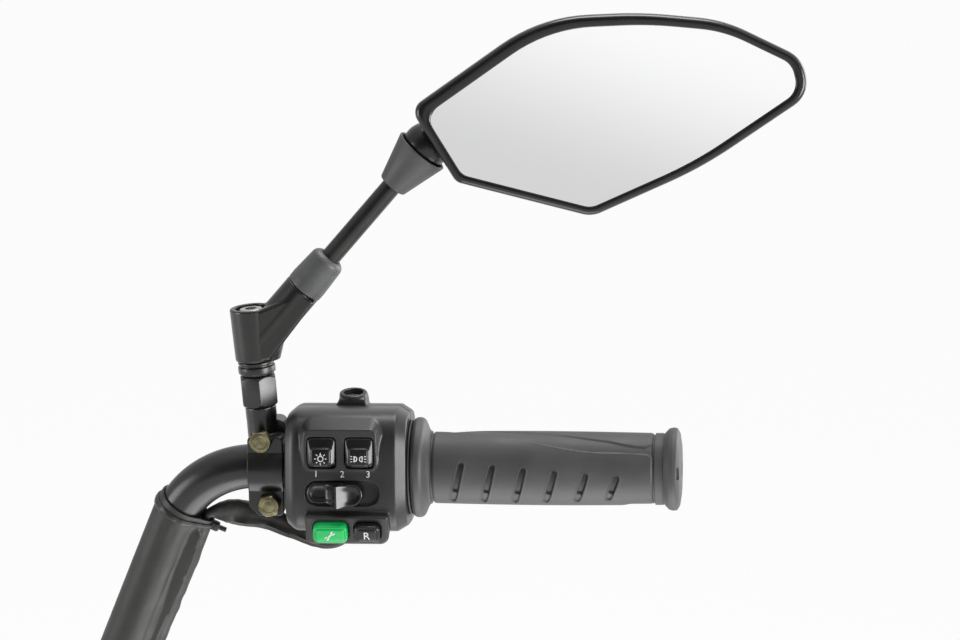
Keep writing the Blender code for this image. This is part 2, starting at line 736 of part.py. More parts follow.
def make_swivel(neck):
    """Lock nut, collar, elbow block and bolt, stacked on the neck; returns the arm's frame."""
    bore = SWIVEL_BOLT_RADIUS + GAP
    nut_low = NECK_TOP + GAP
    nut_high = nut_low + NUT_HEIGHT
    turn = radians(NUT_TURN)
    chamfer = NUT_FLATS * 0.93
    rings = [
        hexagon(chamfer, nut_low, turn),
        hexagon(NUT_FLATS, nut_low + 0.0015, turn),
        hexagon(NUT_FLATS, nut_high - 0.0015, turn),
        hexagon(chamfer, nut_high, turn),
    ]
    through = [(nut_low - GAP, bore), (nut_high + GAP, bore)]
    hole = tool("nut_bore", neck, turned_rings(through, SIDES_SMALL, "Z"))
    cut(loft("post_lock_nut", neck, "black_paint", rings), hole)

    low = nut_high + GAP
    high = low + COLLAR_HEIGHT
    radius = COLLAR_DIAMETER / 2
    profile = [(low, bore), (low, radius - 0.0006), (low + 0.0006, radius), (high - 0.0006, radius)]
    profile += [(high, radius - 0.0006), (high, bore)]
    turned("swivel_collar", neck, "black_paint", profile, SIDES, "Z", closed=True)

    base = high + GAP
    top = base + BLOCK_HEIGHT
    arm_place = (0.0, 0.0, base + ARM_LIFT)
    arm = turned_frame("mirror_arm_axis", neck, arm_place, "Y", ARM_ANGLE)
    low_radius, top_radius = BLOCK_DIAMETER_BOTTOM / 2, BLOCK_DIAMETER_TOP / 2
    profile = [(base, low_radius - 0.0012), (base + 0.0012, low_radius), (top - 0.0008, top_radius)]
    profile.append((top, top_radius - 0.0008))
    elbow = turned("swivel_block", neck, "black_paint", profile, SIDES, "Z")
    arm_radius = ARM_DIAMETER / 2
    arm_end = [(0.0, arm_radius), (ARM_LENGTH - 0.0006, arm_radius), (ARM_LENGTH, arm_radius - 0.0006)]
    fuse(elbow, tool("elbow_arm", arm, turned_rings(arm_end, SIDES, "Z")))
    recess = [(top - BLOCK_RECESS, BLOCK_RECESS_DIAMETER / 2), (top + BLOCK_RECESS, BLOCK_RECESS_DIAMETER / 2)]
    flat = [(-arm_radius * 2, -arm_radius * 2), (arm_radius * 2, -arm_radius * 2)]
    flat += [(arm_radius * 2, arm_radius * 2), (-arm_radius * 2, arm_radius * 2)]
    below = [[(a, b, z) for a, b in flat] for z in (base - arm_radius * 2, base)]
    bolt_hole = [(base - GAP, bore), (top, bore)]
    thread = [(ARM_LENGTH - STEM_THREAD_DEPTH - GAP, STEM_DIAMETER / 2 + GAP)]
    thread.append((ARM_LENGTH + STEM_THREAD_DEPTH, STEM_DIAMETER / 2 + GAP))
    cut(
        elbow,
        tool("elbow_underside", neck, below),
        tool("elbow_recess", neck, turned_rings(recess, SIDES, "Z")),
        tool("elbow_bore", neck, turned_rings(bolt_hole, SIDES_SMALL, "Z")),
        tool("elbow_thread", arm, turned_rings(thread, SIDES_SMALL, "Z")),
    )

    seat = top - BLOCK_RECESS + GAP
    head = SWIVEL_HEAD_DIAMETER / 2
    profile = [
        (NECK_FOOT + GAP, SWIVEL_BOLT_RADIUS),
        (seat, SWIVEL_BOLT_RADIUS),
        (seat, head),
        (seat + SWIVEL_HEAD_HEIGHT - 0.0005, head),
        (seat + SWIVEL_HEAD_HEIGHT, head - 0.0005),
        (seat + SWIVEL_HEAD_HEIGHT, SWIVEL_SOCKET_RADIUS),
        (seat + SWIVEL_HEAD_HEIGHT / 3, SWIVEL_SOCKET_RADIUS),
    ]
    turned("swivel_bolt", neck, "steel", profile, SIDES_SMALL + 2, "Z")
    return arm


def make_stem(arm):
    """Rod with its ball, lock nut, boot and cone; returns the height of the ball's centre."""
    rod = STEM_DIAMETER / 2
    ball_height = CONE_START + CONE_LENGTH + BALL_OVER_CONE
    profile = [(ARM_LENGTH - STEM_THREAD_DEPTH, rod)]
    latitudes = 9
    first = -pi / 2 + 0.62
    for k in range(latitudes + 1):
        angle = first + (pi / 2 - 0.12 - first) * k / latitudes
        profile.append((ball_height + BALL_RADIUS * sin(angle), BALL_RADIUS * cos(angle)))
    turned("mirror_stem", arm, "black_paint", profile, SIDES, "Z")

    nut_low = ARM_LENGTH + GAP * 2
    nut = [hexagon(STEM_NUT_FLATS, nut_low), hexagon(STEM_NUT_FLATS, nut_low + STEM_NUT_HEIGHT)]
    bore = [(nut_low - GAP, rod + GAP), (nut_low + STEM_NUT_HEIGHT + GAP, rod + GAP)]
    hole = tool("stem_nut_bore", arm, turned_rings(bore, SIDES_SMALL, "Z"))
    cut(loft("stem_lock_nut", arm, "steel", nut), hole)

    low = ARM_LENGTH + GAP
    high = low + BOOT_LENGTH
    room = STEM_NUT_FLATS / 2 / cos(pi / 6) + GAP
    ceiling = nut_low + STEM_NUT_HEIGHT + GAP
    profile = [
        (low, room),
        (low, BOOT_DIAMETER / 2),
        (high - 0.003, BOOT_TOP_DIAMETER / 2),
        (high - 0.0008, BOOT_TOP_DIAMETER / 2 - 0.0012),
        (high, BOOT_TOP_DIAMETER / 2 - BOOT_WALL),
        (high, rod + GAP),
        (ceiling, rod + GAP),
        (ceiling, room),
    ]
    turned("stem_boot", arm, "grey_rubber", profile, SIDES, "Z", closed=True)

    small, large = CONE_SMALL_DIAMETER / 2, CONE_LARGE_DIAMETER / 2
    mouth = CONE_START + CONE_LENGTH
    profile = [
        (CONE_START, rod + GAP),
        (CONE_START, small - 0.0008),
        (CONE_START + 0.0008, small),
        (mouth, large),
        (mouth, large - CONE_WALL),
        (CONE_START + CONE_WALL * 3, rod + GAP + 0.001),
        (CONE_START + CONE_WALL * 3, rod + GAP),
    ]
    turned("stem_cone", arm, "rubber", profile, SIDES, "Z", closed=True)
    return ball_height


def inset_corners(corners, widths):
    """Corners of the outline moved in by each side's own width; side k runs from corner k to the next."""
    count = len(corners)
    sides = []
    for k in range(count):
        a = Vector(corners[k][:2])
        along = (Vector(corners[(k + 1) % count][:2]) - a).normalized()
        inward = Vector((along.y, -along.x))
        sides.append((a + inward * widths[k], along))
    moved = []
    for k in range(count):
        a, along = sides[k - 1]
        b, toward = sides[k]
        reach = (b - a).cross(toward) / along.cross(toward)
        place = a + along * reach
        radius = max(corners[k][2] - widths[k], corners[k][2] * 0.5)
        moved.append((place.x, place.y, radius))
    return moved


def outline_ring(outline, depth, scale=1.0, centre=Vector((0.0, 0.0))):
    return [((centre + (p - centre) * scale).x, depth, (centre + (p - centre) * scale).y) for p in outline]


def ball_rings(radius, first, last, latitudes):
    """Zone of a sphere round the frame's origin, turned about Z, between two latitudes in degrees."""
    rings = []
    for k in range(latitudes + 1):
        angle = radians(first + (last - first) * k / latitudes)
        rings.append(circle(radius * cos(angle), radius * sin(angle), SIDES, "Z"))
    return rings


def make_mirror(arm, ball_height):
    ball = frame("mirror_ball_axis", arm, (0.0, 0.0, ball_height))
    upright = Matrix.Rotation(radians(NECK_LEAN - ARM_ANGLE), 3, "Y")
    facing = Matrix.Rotation(radians(MIRROR_YAW), 3, "Z") @ Matrix.Rotation(radians(MIRROR_PITCH), 3, "X")
    head = frame("mirror_head_axis", arm, (0.0, 0.0, ball_height), upright @ facing)

    seat_inner = BALL_RADIUS + GAP
    seat_outer = seat_inner + SEAT_WALL
    low = SOCKET_OPENING - 90.0
    cup = ball_rings(seat_outer, low, 60.0, 4) + ball_rings(seat_inner, low, 60.0, 4)[::-1]
    loft("ball_seat", ball, "nylon", cup, closed=True)

    outer = rounded(MIRROR_CORNERS)
    centre = sum(outer, Vector((0.0, 0.0))) / len(outer)
    glass_corners = inset_corners(MIRROR_CORNERS, RIM_WIDTHS)
    opening = rounded(glass_corners)
    lap = [-GLASS_LAP] * len(RIM_WIDTHS)
    glass = rounded(inset_corners(glass_corners, lap))
    room = rounded(inset_corners(glass_corners, [-GLASS_LAP - GAP] * len(RIM_WIDTHS)))

    front = -MIRROR_FRONT
    back = front + BEZEL_DEPTH
    lip = front + GLASS_SINK
    trim = rounded(inset_corners(MIRROR_CORNERS, [BEZEL_SLOPE] * len(RIM_WIDTHS)))
    rings = [
        outline_ring(outer, back),
        outline_ring(outer, front + BEZEL_SLOPE),
        outline_ring(trim, front),
        outline_ring(opening, front + BEZEL_SLOPE / 2),
        outline_ring(opening, lip),
        outline_ring(room, lip),
        outline_ring(room, back),
    ]
    loft("mirror_bezel", head, "gloss_plastic", rings, closed=True)

    glass_front = lip + GAP
    glass_back = glass_front + GLASS_THICKNESS
    rings = [outline_ring(glass, glass_front), outline_ring(glass, glass_back)]
    loft("mirror_glass", head, "mirror", rings)
    pad_front = glass_back + GAP
    rings = [outline_ring(glass, pad_front), outline_ring(glass, pad_front + PAD_THICKNESS)]
    loft("glass_pad", head, "foam", rings)

    start = back + GAP
    depth = SHELL_DEPTH
    bowl = ((0.0, 1.0), (0.16, 0.985), (0.42, 0.90), (0.68, 0.74), (0.88, 0.55), (1.0, SHELL_SHRINK))
    rings = [outline_ring(outer, start + depth * share, scale, centre) for share, scale in bowl]
    shell = loft("mirror_shell", head, "gloss_plastic", rings)
    floor = pad_front + PAD_THICKNESS + GAP
    rings = [outline_ring(room, start - GAP), outline_ring(room, max(floor, start + GAP))]
    inner = 1.0 - SHELL_WALL / 0.030
    for share, scale in bowl[2:]:
        rings.append(outline_ring(outer, start + depth * share - SHELL_WALL, scale * inner, centre))
    hollow = tool("shell_hollow", head, rings)
    cavity = seat_outer + GAP
    knob = tool("socket_ball", ball, ball_rings(cavity + SOCKET_WALL, -84.0, 84.0, 8))
    bowl_room = tool("socket_room", ball, ball_rings(cavity, -84.0, 84.0, 8))
    reach = (cavity + SOCKET_WALL) * 1.5
    mouth = [(-reach, reach * tan(radians(SOCKET_OPENING))), (-0.001, 0.001)]
    entry = tool("socket_entry", ball, turned_rings(mouth, SIDES, "Z"))
    cut(shell, hollow)
    fuse(shell, knob)
    cut(shell, bowl_room, entry)


def case_section(x, side, inset, depth=CASE_HALF_DEPTH):
    """Half of the case's rounded-square outline on one side of the split, moved in by inset."""
    count = 12
    power = 2 / CASE_SQUARENESS
    ring = []
    for k in range(count + 1):
        angle = pi * k / count - pi / 2
        y = max((depth - inset) * max(cos(angle), 0.0) ** power, SPLIT_GAP / 2)
        z = (CASE_HALF_HEIGHT - inset) * abs(sin(angle)) ** power
        ring.append((x, side * y, z if angle > 0 else -z))
    return ring


def case_half(name, side):
    stations = (
        (-CASE_LENGTH, CASE_LEFT_CHAMFER * 0.8),
        (CASE_LEFT_CHAMFER - CASE_LENGTH, 0.0),
        (-CASE_RIGHT_CHAMFER, 0.0),
        (0.0, CASE_RIGHT_CHAMFER * 0.6),
    )
    return loft(name, CASE, "satin_plastic", [case_section(x, side, inset) for x, inset in stations])


def case_hollow():
    rings = []
    front_depth = CASE_HALF_DEPTH - CASE_FRONT_WALL + CASE_WALL
    for x in (CASE_WALL - CASE_LENGTH, -CASE_WALL):
        rings.append(case_section(x, 1.0, CASE_WALL) + case_section(x, -1.0, CASE_WALL, front_depth)[::-1])
    return tool("case_hollow", CASE, rings)


def case_bore():
    tube = BAR_RADIUS + GAP + THROTTLE_WALL + TURNING_CLEARANCE
    step = RIB_THICKNESS - RIB_POSITION + GAP
    profile = [(-CASE_LENGTH * 1.1, BAR_RADIUS + GAP), (step, BAR_RADIUS + GAP), (step, tube), (CASE_WALL, tube)]
    return tool("case_bore", CASE, turned_rings(profile, SIDES_LARGE))


def hood():
    """Raised panel round the keys, its sides and top falling back to the case."""
    back = CASE_FRONT + HOOD_DEPTH
    grow = HOOD_BEVEL
    levels = ((CASE_FRONT, 0.0), (back, grow), (back + CASE_WALL, grow))
    rings = []
    for y, out in levels:
        low, high = HOOD_BOTTOM - out, HOOD_TOP + out
        left, right = HOOD_LEFT - out, HOOD_RIGHT + out
        rings.append([(left, y, low), (right, y, low), (right, y, high), (left, y, high)])
    return tool("hood", CASE, rings)


def along_y(name, radius, near, far, x, z):
    return tool(name, CASE, turned_rings([(near, radius), (far, radius)], SIDES_SMALL, "Y", (x, z)))


def case_screw(name, z):
    """Screw from the back; returns the bosses of both halves and the bore through them."""
    head, shank = CASE_SCREW_HEAD, CASE_SCREW_RADIUS
    profile = [
        (-CASE_SCREW_REACH, shank),
        (CASE_SCREW_SEAT, shank),
        (CASE_SCREW_SEAT, head),
        (CASE_SCREW_SEAT + head, head),
    ]
    turned(name, CASE, "steel", profile, SIDES_SMALL, "Y", (CASE_SCREW_X, z))
    room = [
        (-CASE_SCREW_REACH - GAP, shank + GAP),
        (CASE_SCREW_SEAT - GAP, shank + GAP),
        (CASE_SCREW_SEAT - GAP, head + GAP),
        (CASE_HALF_DEPTH * 1.2, head + GAP),
    ]
    bore = tool(name + "_bore", CASE, turned_rings(room, SIDES_SMALL, "Y", (CASE_SCREW_X, z)))
    end = CASE_SCREW_SEAT + CASE_WALL
    front = along_y(name + "_front_boss", CASE_BOSS_RADIUS, -end, -SPLIT_GAP / 2, CASE_SCREW_X, z)
    rear = along_y(name + "_rear_boss", CASE_BOSS_RADIUS, SPLIT_GAP / 2, end, CASE_SCREW_X, z)
    return front, rear, bore


def make_lug():
    """Lug on the rear half with its screw; returns the lug and the screw's hole."""
    half = LUG_WIDTH / 2
    rise = LUG_DEPTH / 2 * tan(radians(LUG_LEAN))
    top = CASE_HALF_HEIGHT + LUG_HEIGHT
    base = CASE_HALF_HEIGHT - CASE_WALL / 2
    narrow = half - LUG_TAPER
    near, far = SPLIT_GAP / 2, SPLIT_GAP / 2 + LUG_DEPTH
    rings = []
    for y, high in ((near, top - rise), (far, top + rise)):
        shoulder = high - LUG_TAPER
        outline = ((-half, base), (half, base), (half - LUG_TAPER / 3, shoulder), (narrow, high), (-narrow, high))
        rings.append([(LUG_X + x, y, z) for x, z in outline + ((LUG_TAPER / 3 - half, shoulder),)])
    lug = tool("lug", CASE, rings)
    place = turned_frame("lug_screw_place", CASE, (LUG_X, SPLIT_GAP / 2 + LUG_DEPTH / 2, top), "X", LUG_LEAN)
    radius = LUG_SCREW_RADIUS
    bottom = -LUG_HEIGHT - CASE_WALL / 3
    profile = [
        (bottom, radius / 2),
        (-radius, radius / 2),
        (-radius, radius),
        (-GAP * 2, radius),
        (-GAP * 2, radius * 0.6),
        (-radius * 0.6, radius * 0.6),
    ]
    turned("lug_screw", place, "steel", profile, SIDES_SMALL, "Z")
    room = [(bottom - GAP, radius / 2 + GAP), (-radius - GAP, radius / 2 + GAP)]
    room += [(-radius - GAP, radius + GAP), (radius, radius + GAP)]
    return lug, tool("lug_hole", place, turned_rings(room, SIDES_SMALL, "Z"))


def make_key(name, contact_name, x):
    """Rocker key on the pin and the contact behind it; returns the opening in the case."""
    axis = frame(name + "_axis", CASE, (x, ROCKER_PIN_Y, KEY_Z))
    plane = CASE_FRONT - ROCKER_PIN_Y
    half, reach = KEY_WIDTH / 2, KEY_HEIGHT / 2
    face_half = half - KEY_BEVEL
    levels = (
        (KEY_BACK, half, -reach, reach),
        (plane - KEY_BEVEL / 2, half, -reach, reach),
        (plane - KEY_PROUD, face_half, -reach + KEY_BEVEL / 2, reach - KEY_SLOPE),
    )
    rings = [[(-w, y, a), (w, y, a), (w, y, b), (-w, y, b)] for y, w, a, b in levels]
    key = loft(name, axis, "gloss_plastic", rings)
    bore = [(-KEY_WIDTH, ROCKER_PIN_RADIUS + GAP), (KEY_WIDTH, ROCKER_PIN_RADIUS + GAP)]
    cut(key, tool(name + "_pin_bore", axis, turned_rings(bore, SIDES_SMALL)))

    back = BOARD_FRONT - GAP
    low = (x - CONTACT_WIDTH / 2, back - CONTACT_DEPTH, KEY_Z - CONTACT_HEIGHT / 2)
    high = (x + CONTACT_WIDTH / 2, back, KEY_Z + CONTACT_HEIGHT / 2)
    loft(contact_name, CASE, "satin_plastic", block(low, high))
    room = ROCKER_CLEARANCE
    low = (x - half - room, CASE_FRONT * 1.2, KEY_Z - reach - room)
    high = (x + half + room, CASE_FRONT + CASE_FRONT_WALL * 1.5, KEY_Z + reach + room)
    return tool(name + "_opening", CASE, block(low, high))


def make_rocker_pin():
    ends = KEY_WIDTH / 2 + ROCKER_CLEARANCE + ROCKER_PIN_OVERHANG
    left, right = KEY_LEFT_X - ends, KEY_RIGHT_X + ends
    place = frame("rocker_pin_axis", CASE, (0.0, ROCKER_PIN_Y, KEY_Z))
    pin = [(left, ROCKER_PIN_RADIUS), (right, ROCKER_PIN_RADIUS)]
    turned("rocker_pin", place, "steel", pin, SIDES_SMALL)
    room = [(left - GAP, ROCKER_PIN_RADIUS + GAP), (right + GAP, ROCKER_PIN_RADIUS + GAP)]
    return tool("rocker_pin_channel", place, turned_rings(room, SIDES_SMALL))


def make_slider():
    """Knob in its pocket, the carriage behind the wall and its contact; returns the pocket and the slot."""
    length = SLOT_LENGTH - SLIDER_TRAVEL - GAP * 2
    middle = SLOT_LEFT + GAP + length / 2
    place = frame("speed_slider_axis", CASE, (middle, -CASE_HALF_DEPTH, SLOT_Z))
    floor = SLOT_DEPTH - GAP
    half = SLOT_HEIGHT / 2 - GAP
    outline = rounded_box(length / 2, half, half * 0.92)
    levels = ((floor, 0.0), (floor - SLIDER_PLATE * 0.7, 0.0), (floor - SLIDER_PLATE, -0.0007))
    knob = loft("speed_slider", place, "gloss_plastic", plate_rings(outline, levels))
    base, tip = SLIDER_FIN_BASE / 2, SLIDER_FIN_TIP / 2
    tall = SLIDER_FIN_HEIGHT / 2
    drop, shift = SLIDER_FIN_DROP, SLIDER_FIN_SHIFT
    root = floor - SLIDER_PLATE / 2
    rings = [
        [(-base, root, -tall), (base, root, -tall), (base, root, tall), (-base, root, tall)],
        [
            (shift - tip, -SLIDER_FIN, -tall - drop),
            (shift + tip, -SLIDER_FIN, -tall - drop),
            (shift + tip, -SLIDER_FIN, tall - drop * 1.6),
            (shift - tip, -SLIDER_FIN, tall - drop * 1.6),
        ],
    ]
    stem_end = CASE_FRONT_WALL + GAP * 2
    low = (-SLIDER_STEM / 2, floor / 2, -SLIDER_STEM_HEIGHT / 2)
    high = (SLIDER_STEM / 2, stem_end, SLIDER_STEM_HEIGHT / 2)
    fuse(knob, tool("slider_fin", place, rings), tool("slider_stem", place, block(low, high)))

    start = stem_end + GAP
    low = (-CARRIAGE_LENGTH / 2, start, -CARRIAGE_HEIGHT / 2)
    high = (CARRIAGE_LENGTH / 2, start + CARRIAGE_THICKNESS, CARRIAGE_HEIGHT / 2)
    loft("slider_carriage", place, "nylon", block(low, high))

    back = BOARD_FRONT - GAP
    x = middle + SLIDER_TRAVEL / 2
    low = (x - SLIDER_CONTACT_LENGTH / 2, back - SLIDER_CONTACT_DEPTH, SLOT_Z - SLIDER_CONTACT_HEIGHT / 2)
    high = (x + SLIDER_CONTACT_LENGTH / 2, back, SLOT_Z + SLIDER_CONTACT_HEIGHT / 2)
    loft("slider_contact", CASE, "satin_plastic", block(low, high))

    pocket = rounded_box(SLOT_LENGTH / 2, SLOT_HEIGHT / 2, SLOT_HEIGHT * 0.46)
    levels = ((-SLOT_DEPTH * 2, 0.0), (SLOT_DEPTH, 0.0))
    pocket_tool = tool("slider_pocket", place, plate_rings(pocket, levels, (SLOT_LENGTH / 2 - length / 2 - GAP, 0.0)))
    margin = GAP * 2
    low = (-SLIDER_STEM / 2 - margin, 0.0, -SLIDER_STEM_HEIGHT / 2 - margin)
    high = (SLIDER_STEM / 2 + SLIDER_TRAVEL + margin, stem_end * 1.5, SLIDER_STEM_HEIGHT / 2 + margin)
    return pocket_tool, tool("slider_slot", place, block(low, high))


def make_button(name, look, switch_name, pod, x, width):
    """Push button with a flange behind the pod's front wall; returns its opening."""
    outline = rounded_box(width / 2, BUTTON_HEIGHT / 2, BUTTON_RADIUS)
    shelf = POD_WALL + GAP
    crown = 0.0009
    levels = (
        (-BUTTON_PROUD, -crown),
        (crown - BUTTON_PROUD, 0.0),
        (shelf, 0.0),
        (shelf, BUTTON_FLANGE),
        (shelf + BUTTON_FLANGE_THICKNESS, BUTTON_FLANGE),
    )
    loft(name, pod, look, plate_rings(outline, levels, (x, 0.0)))
    back = BUTTON_BOARD_Y - GAP
    half = TACT_SIZE / 2
    front = shelf + BUTTON_FLANGE_THICKNESS + BUTTON_TRAVEL + GAP * 2
    loft(switch_name, pod, "satin_plastic", block((x - half, front, -half), (x + half, back, half)))
    hole = rounded_box(width / 2 + GAP, BUTTON_HEIGHT / 2 + GAP, BUTTON_RADIUS + GAP)
    return tool(name + "_opening", pod, plate_rings(hole, ((-POD_WALL, 0.0), (POD_WALL * 1.5, 0.0)), (x, 0.0)))


def make_pod():
    """Button pod; returns its box and everything cut out of it."""
    pod = turned_frame("button_pod_axis", CASE, (POD_X, POD_Y, POD_Z), "X", POD_TILT)
    half_width, half_height = POD_WIDTH / 2, POD_HEIGHT / 2
    outline = rounded_box(half_width, half_height, POD_CORNER)
    edge = 0.001
    box = tool("pod_box", pod, plate_rings(outline, ((0.0, -edge), (edge, 0.0), (POD_DEPTH, 0.0))))
    inner_width, inner_height = half_width - POD_WALL, half_height - POD_WALL
    low = (-inner_width, POD_WALL, -inner_height)
    high = (inner_width, POD_DEPTH + POD_WALL, inner_height)
    hollow = tool("pod_hollow", pod, block(low, high))
    low = (GAP - inner_width, BUTTON_BOARD_Y, GAP - inner_height)
    high = (inner_width - GAP, BUTTON_BOARD_Y + BUTTON_BOARD_THICKNESS, inner_height - GAP)
    loft("button_board", pod, "board", block(low, high))
    repair = make_button("repair_button", "green_plastic", "repair_switch", pod, REPAIR_X, REPAIR_WIDTH)
    reverse = make_button("reverse_button", "gloss_plastic", "reverse_switch", pod, REVERSE_X, REVERSE_WIDTH)
    return box, hollow, repair, reverse


def make_board():
    """Switch board on its posts with two screws; returns the posts and their bores."""
    low = (BOARD_LEFT, BOARD_FRONT, -BOARD_HALF_HEIGHT)
    high = (BOARD_RIGHT, BOARD_FRONT + BOARD_THICKNESS, BOARD_HALF_HEIGHT)
    board = loft("switch_board", CASE, "board", block(low, high))
    posts, bores = [], []
    head = BOARD_FRONT + BOARD_THICKNESS + GAP
    tip = BOARD_FRONT - BOARD_SCREW_GRIP
    for name, z in (("board_screw_upper", POST_Z), ("board_screw_lower", -POST_Z)):
        radius = BOARD_SCREW_RADIUS
        profile = [(tip, radius), (head, radius), (head, radius * 2), (head + radius, radius * 2)]
        turned(name, CASE, "steel", profile, SIDES_SMALL, "Y", (POST_X, z))
        wall = CASE_FRONT + CASE_FRONT_WALL / 2
        posts.append(along_y(name + "_post", POST_RADIUS, wall, BOARD_FRONT - GAP, POST_X, z))
        bores.append(along_y(name + "_bore", radius + GAP, tip - GAP, head, POST_X, z))
    cut(board, *bores)
    return posts, bores


def make_case():
    front = case_half("case_front", -1.0)
    rear = case_half("case_rear", 1.0)
    hollow, bore = case_hollow(), case_bore()
    upper = case_screw("case_screw_upper", CASE_SCREW_Z)
    lower = case_screw("case_screw_lower", -CASE_SCREW_Z)
    pod_box, pod_hollow, *button_holes = make_pod()
    posts, post_bores = make_board()
    keys = [make_key("light_key", "light_contact", KEY_LEFT_X)]
    keys.append(make_key("position_key", "position_contact", KEY_RIGHT_X))
    pocket, slot = make_slider()
    fuse(front, hood())
    cut(front, hollow)
    fuse(front, pod_box, upper[0], lower[0], *posts)
    cut(front, pod_hollow, *button_holes, *keys, make_rocker_pin(), pocket, slot, upper[2], lower[2], *post_bores, bore)

    lug, lug_hole = make_lug()
    ribs = [case_section(x, 1.0, CASE_WALL / 2) for x in (-RIB_POSITION, RIB_THICKNESS - RIB_POSITION)]
    cut(rear, hollow)
    fuse(rear, tool("bar_rib", CASE, ribs), upper[1], lower[1], lug)
    cut(rear, upper[2], lower[2], lug_hole, make_gland(CASE), bore)


def grip_slot(index, side):
    """Shape of one slanted slot; it follows the round of the grip."""
    top = GRIP_SLOT_TOP - GRIP_SLOT_STEP * index
    middle = GRIP_SLOT_X + GRIP_SLOT_PITCH * index
    low, high = GRIP_RADIUS - GRIP_SLOT_CUT, GRIP_RADIUS + GRIP_SLOT_CUT * 2
    rings = []
    steps = 4
    for k in range(steps + 1):
        share = k / steps
        angle = radians(top + (GRIP_SLOT_BOTTOM - top) * share)
        x = middle + GRIP_SLOT_SLANT * (0.5 - share)
        ring = []
        for offset, radius in ((-0.5, low), (0.5, low), (0.5, high), (-0.5, high)):
            place = (x + GRIP_SLOT_WIDTH * offset, side * radius * cos(angle), radius * sin(angle))
            ring.append(place)
        rings.append(ring)
    return rings


def make_throttle():
    inner = BAR_RADIUS + GAP
    outer = inner + THROTTLE_WALL
    right = -CASE_WALL - GAP
    left = right - DRUM_LENGTH
    profile = [(left, inner), (left, DRUM_RADIUS), (right, DRUM_RADIUS), (right, outer), (BAR_REACH, outer)]
    profile.append((BAR_REACH, inner))
    turned("throttle_tube", DATUM, "nylon", profile, SIDES, closed=True)

    start, end = RIB_THICKNESS - RIB_POSITION + GAP, left - GAP
    ring = [(start, inner), (start, inner + SPRING_WALL), (end, inner + SPRING_WALL), (end, inner)]
    turned("throttle_spring", DATUM, "steel", ring, SIDES, closed=True)

    across, along, thick = MAGNET_SIZE
    place = turned_frame("throttle_magnet_place", DATUM, (0.0, 0.0, 0.0), "X", MAGNET_ANGLE - 90)
    x = (left + right) / 2
    base = DRUM_RADIUS + GAP
    low, high = (x - across / 2, -along / 2, base), (x + across / 2, along / 2, base + thick)
    loft("throttle_magnet", place, "magnet", block(low, high))
    across, along, thick = SENSOR_SIZE
    low, high = (start, -along / 2, base), (start + across, along / 2, base + thick)
    loft("hall_sensor", place, "satin_plastic", block(low, high))

    seal = [(GAP, outer + TURNING_CLEARANCE), (GAP, SEAL_RADIUS)]
    seal += [(GAP + SEAL_THICKNESS, SEAL_RADIUS), (GAP + SEAL_THICKNESS, outer + TURNING_CLEARANCE)]
    turned("throttle_seal", DATUM, "rubber", seal, SIDES_LARGE, closed=True)
    make_grip(outer + GAP, GAP + SEAL_THICKNESS + GAP)


def make_grip(bore, start):
    inner_end = FLANGE_END + END_DOME - GRIP_END_WALL
    collar_end = start + COLLAR_LENGTH
    soft = COLLAR_ROUND
    body = GRIP_RADIUS
    middle = (collar_end + GRIP_PAD_END) / 2
    profile = [
        (inner_end, bore),
        (start, bore),
        (start, COLLAR_RADIUS - soft * 0.6),
        (start + soft * 0.18, COLLAR_RADIUS - soft * 0.22),
        (start + soft * 0.5, COLLAR_RADIUS),
        (collar_end - soft, COLLAR_RADIUS),
        (collar_end - soft * 0.35, COLLAR_RADIUS - soft * 0.25),
        (collar_end, COLLAR_RADIUS - soft),
        (collar_end + soft * 0.3, body + soft * 0.35),
        (collar_end + soft, body),
        (middle, body + GRIP_BARREL),
        (GRIP_PAD_END, body),
        (GRIP_PAD_END, body - GRIP_GROOVE),
        (GRIP_PAD_END + GRIP_GROOVE, body - GRIP_GROOVE),
        (GRIP_PAD_END + GRIP_GROOVE, GRIP_RING_RADIUS),
        (FLANGE_START, GRIP_RING_RADIUS),
        (FLANGE_START, FLANGE_RADIUS - END_DOME),
        (FLANGE_START + END_DOME, FLANGE_RADIUS),
        (FLANGE_END - END_DOME, FLANGE_RADIUS),
        (FLANGE_END, FLANGE_RADIUS - END_DOME),
        (FLANGE_END + END_DOME, FLANGE_RADIUS * END_DOME_SHARE),
    ]
    grip = turned("grip_rubber", DATUM, "rubber", profile, SIDES_LARGE)
    for index in range(GRIP_SLOT_COUNT):
        cut(grip, tool(f"front_slot_{index}", DATUM, grip_slot(index, -1.0)))
        cut(grip, tool(f"rear_slot_{index}", DATUM, grip_slot(index, 1.0)))


NECK_FOOT = REAR_EAR_TOP + GAP * 2 + NECK_DIAMETER / 2 * tan(radians(NECK_LEAN))
CASE_FRONT = -CASE_HALF_DEPTH - HOOD_PROUD
ROCKER_PIN_Y = CASE_FRONT + ROCKER_PIN_SETBACK
BOARD_FRONT = -CASE_HALF_DEPTH + BOARD_SETBACK - BOARD_THICKNESS / 2
BUTTON_BOARD_Y = POD_DEPTH - POD_WALL - BUTTON_BOARD_THICKNESS
NECK = turned_frame("mirror_swivel_axis", DATUM, (NECK_X, 0.0, 0.0), "Y", -NECK_LEAN)
CASE = turned_frame("case_axis", DATUM, (0.0, 0.0, 0.0), "X", -CASE_TILT)
make_bar()
make_sleeve()
make_loom()
make_clamp(NECK)
ARM = make_swivel(NECK)
make_mirror(ARM, make_stem(ARM))
make_case()
make_throttle()
print("bar datum in the part's frame:", [round(value, 6) for value in -leg_point(LEG_LENGTH)])
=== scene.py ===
import json
from math import acos, cos, exp, pi, radians, sin, sqrt, tan

import bpy
from mathutils import Matrix, Vector, noise

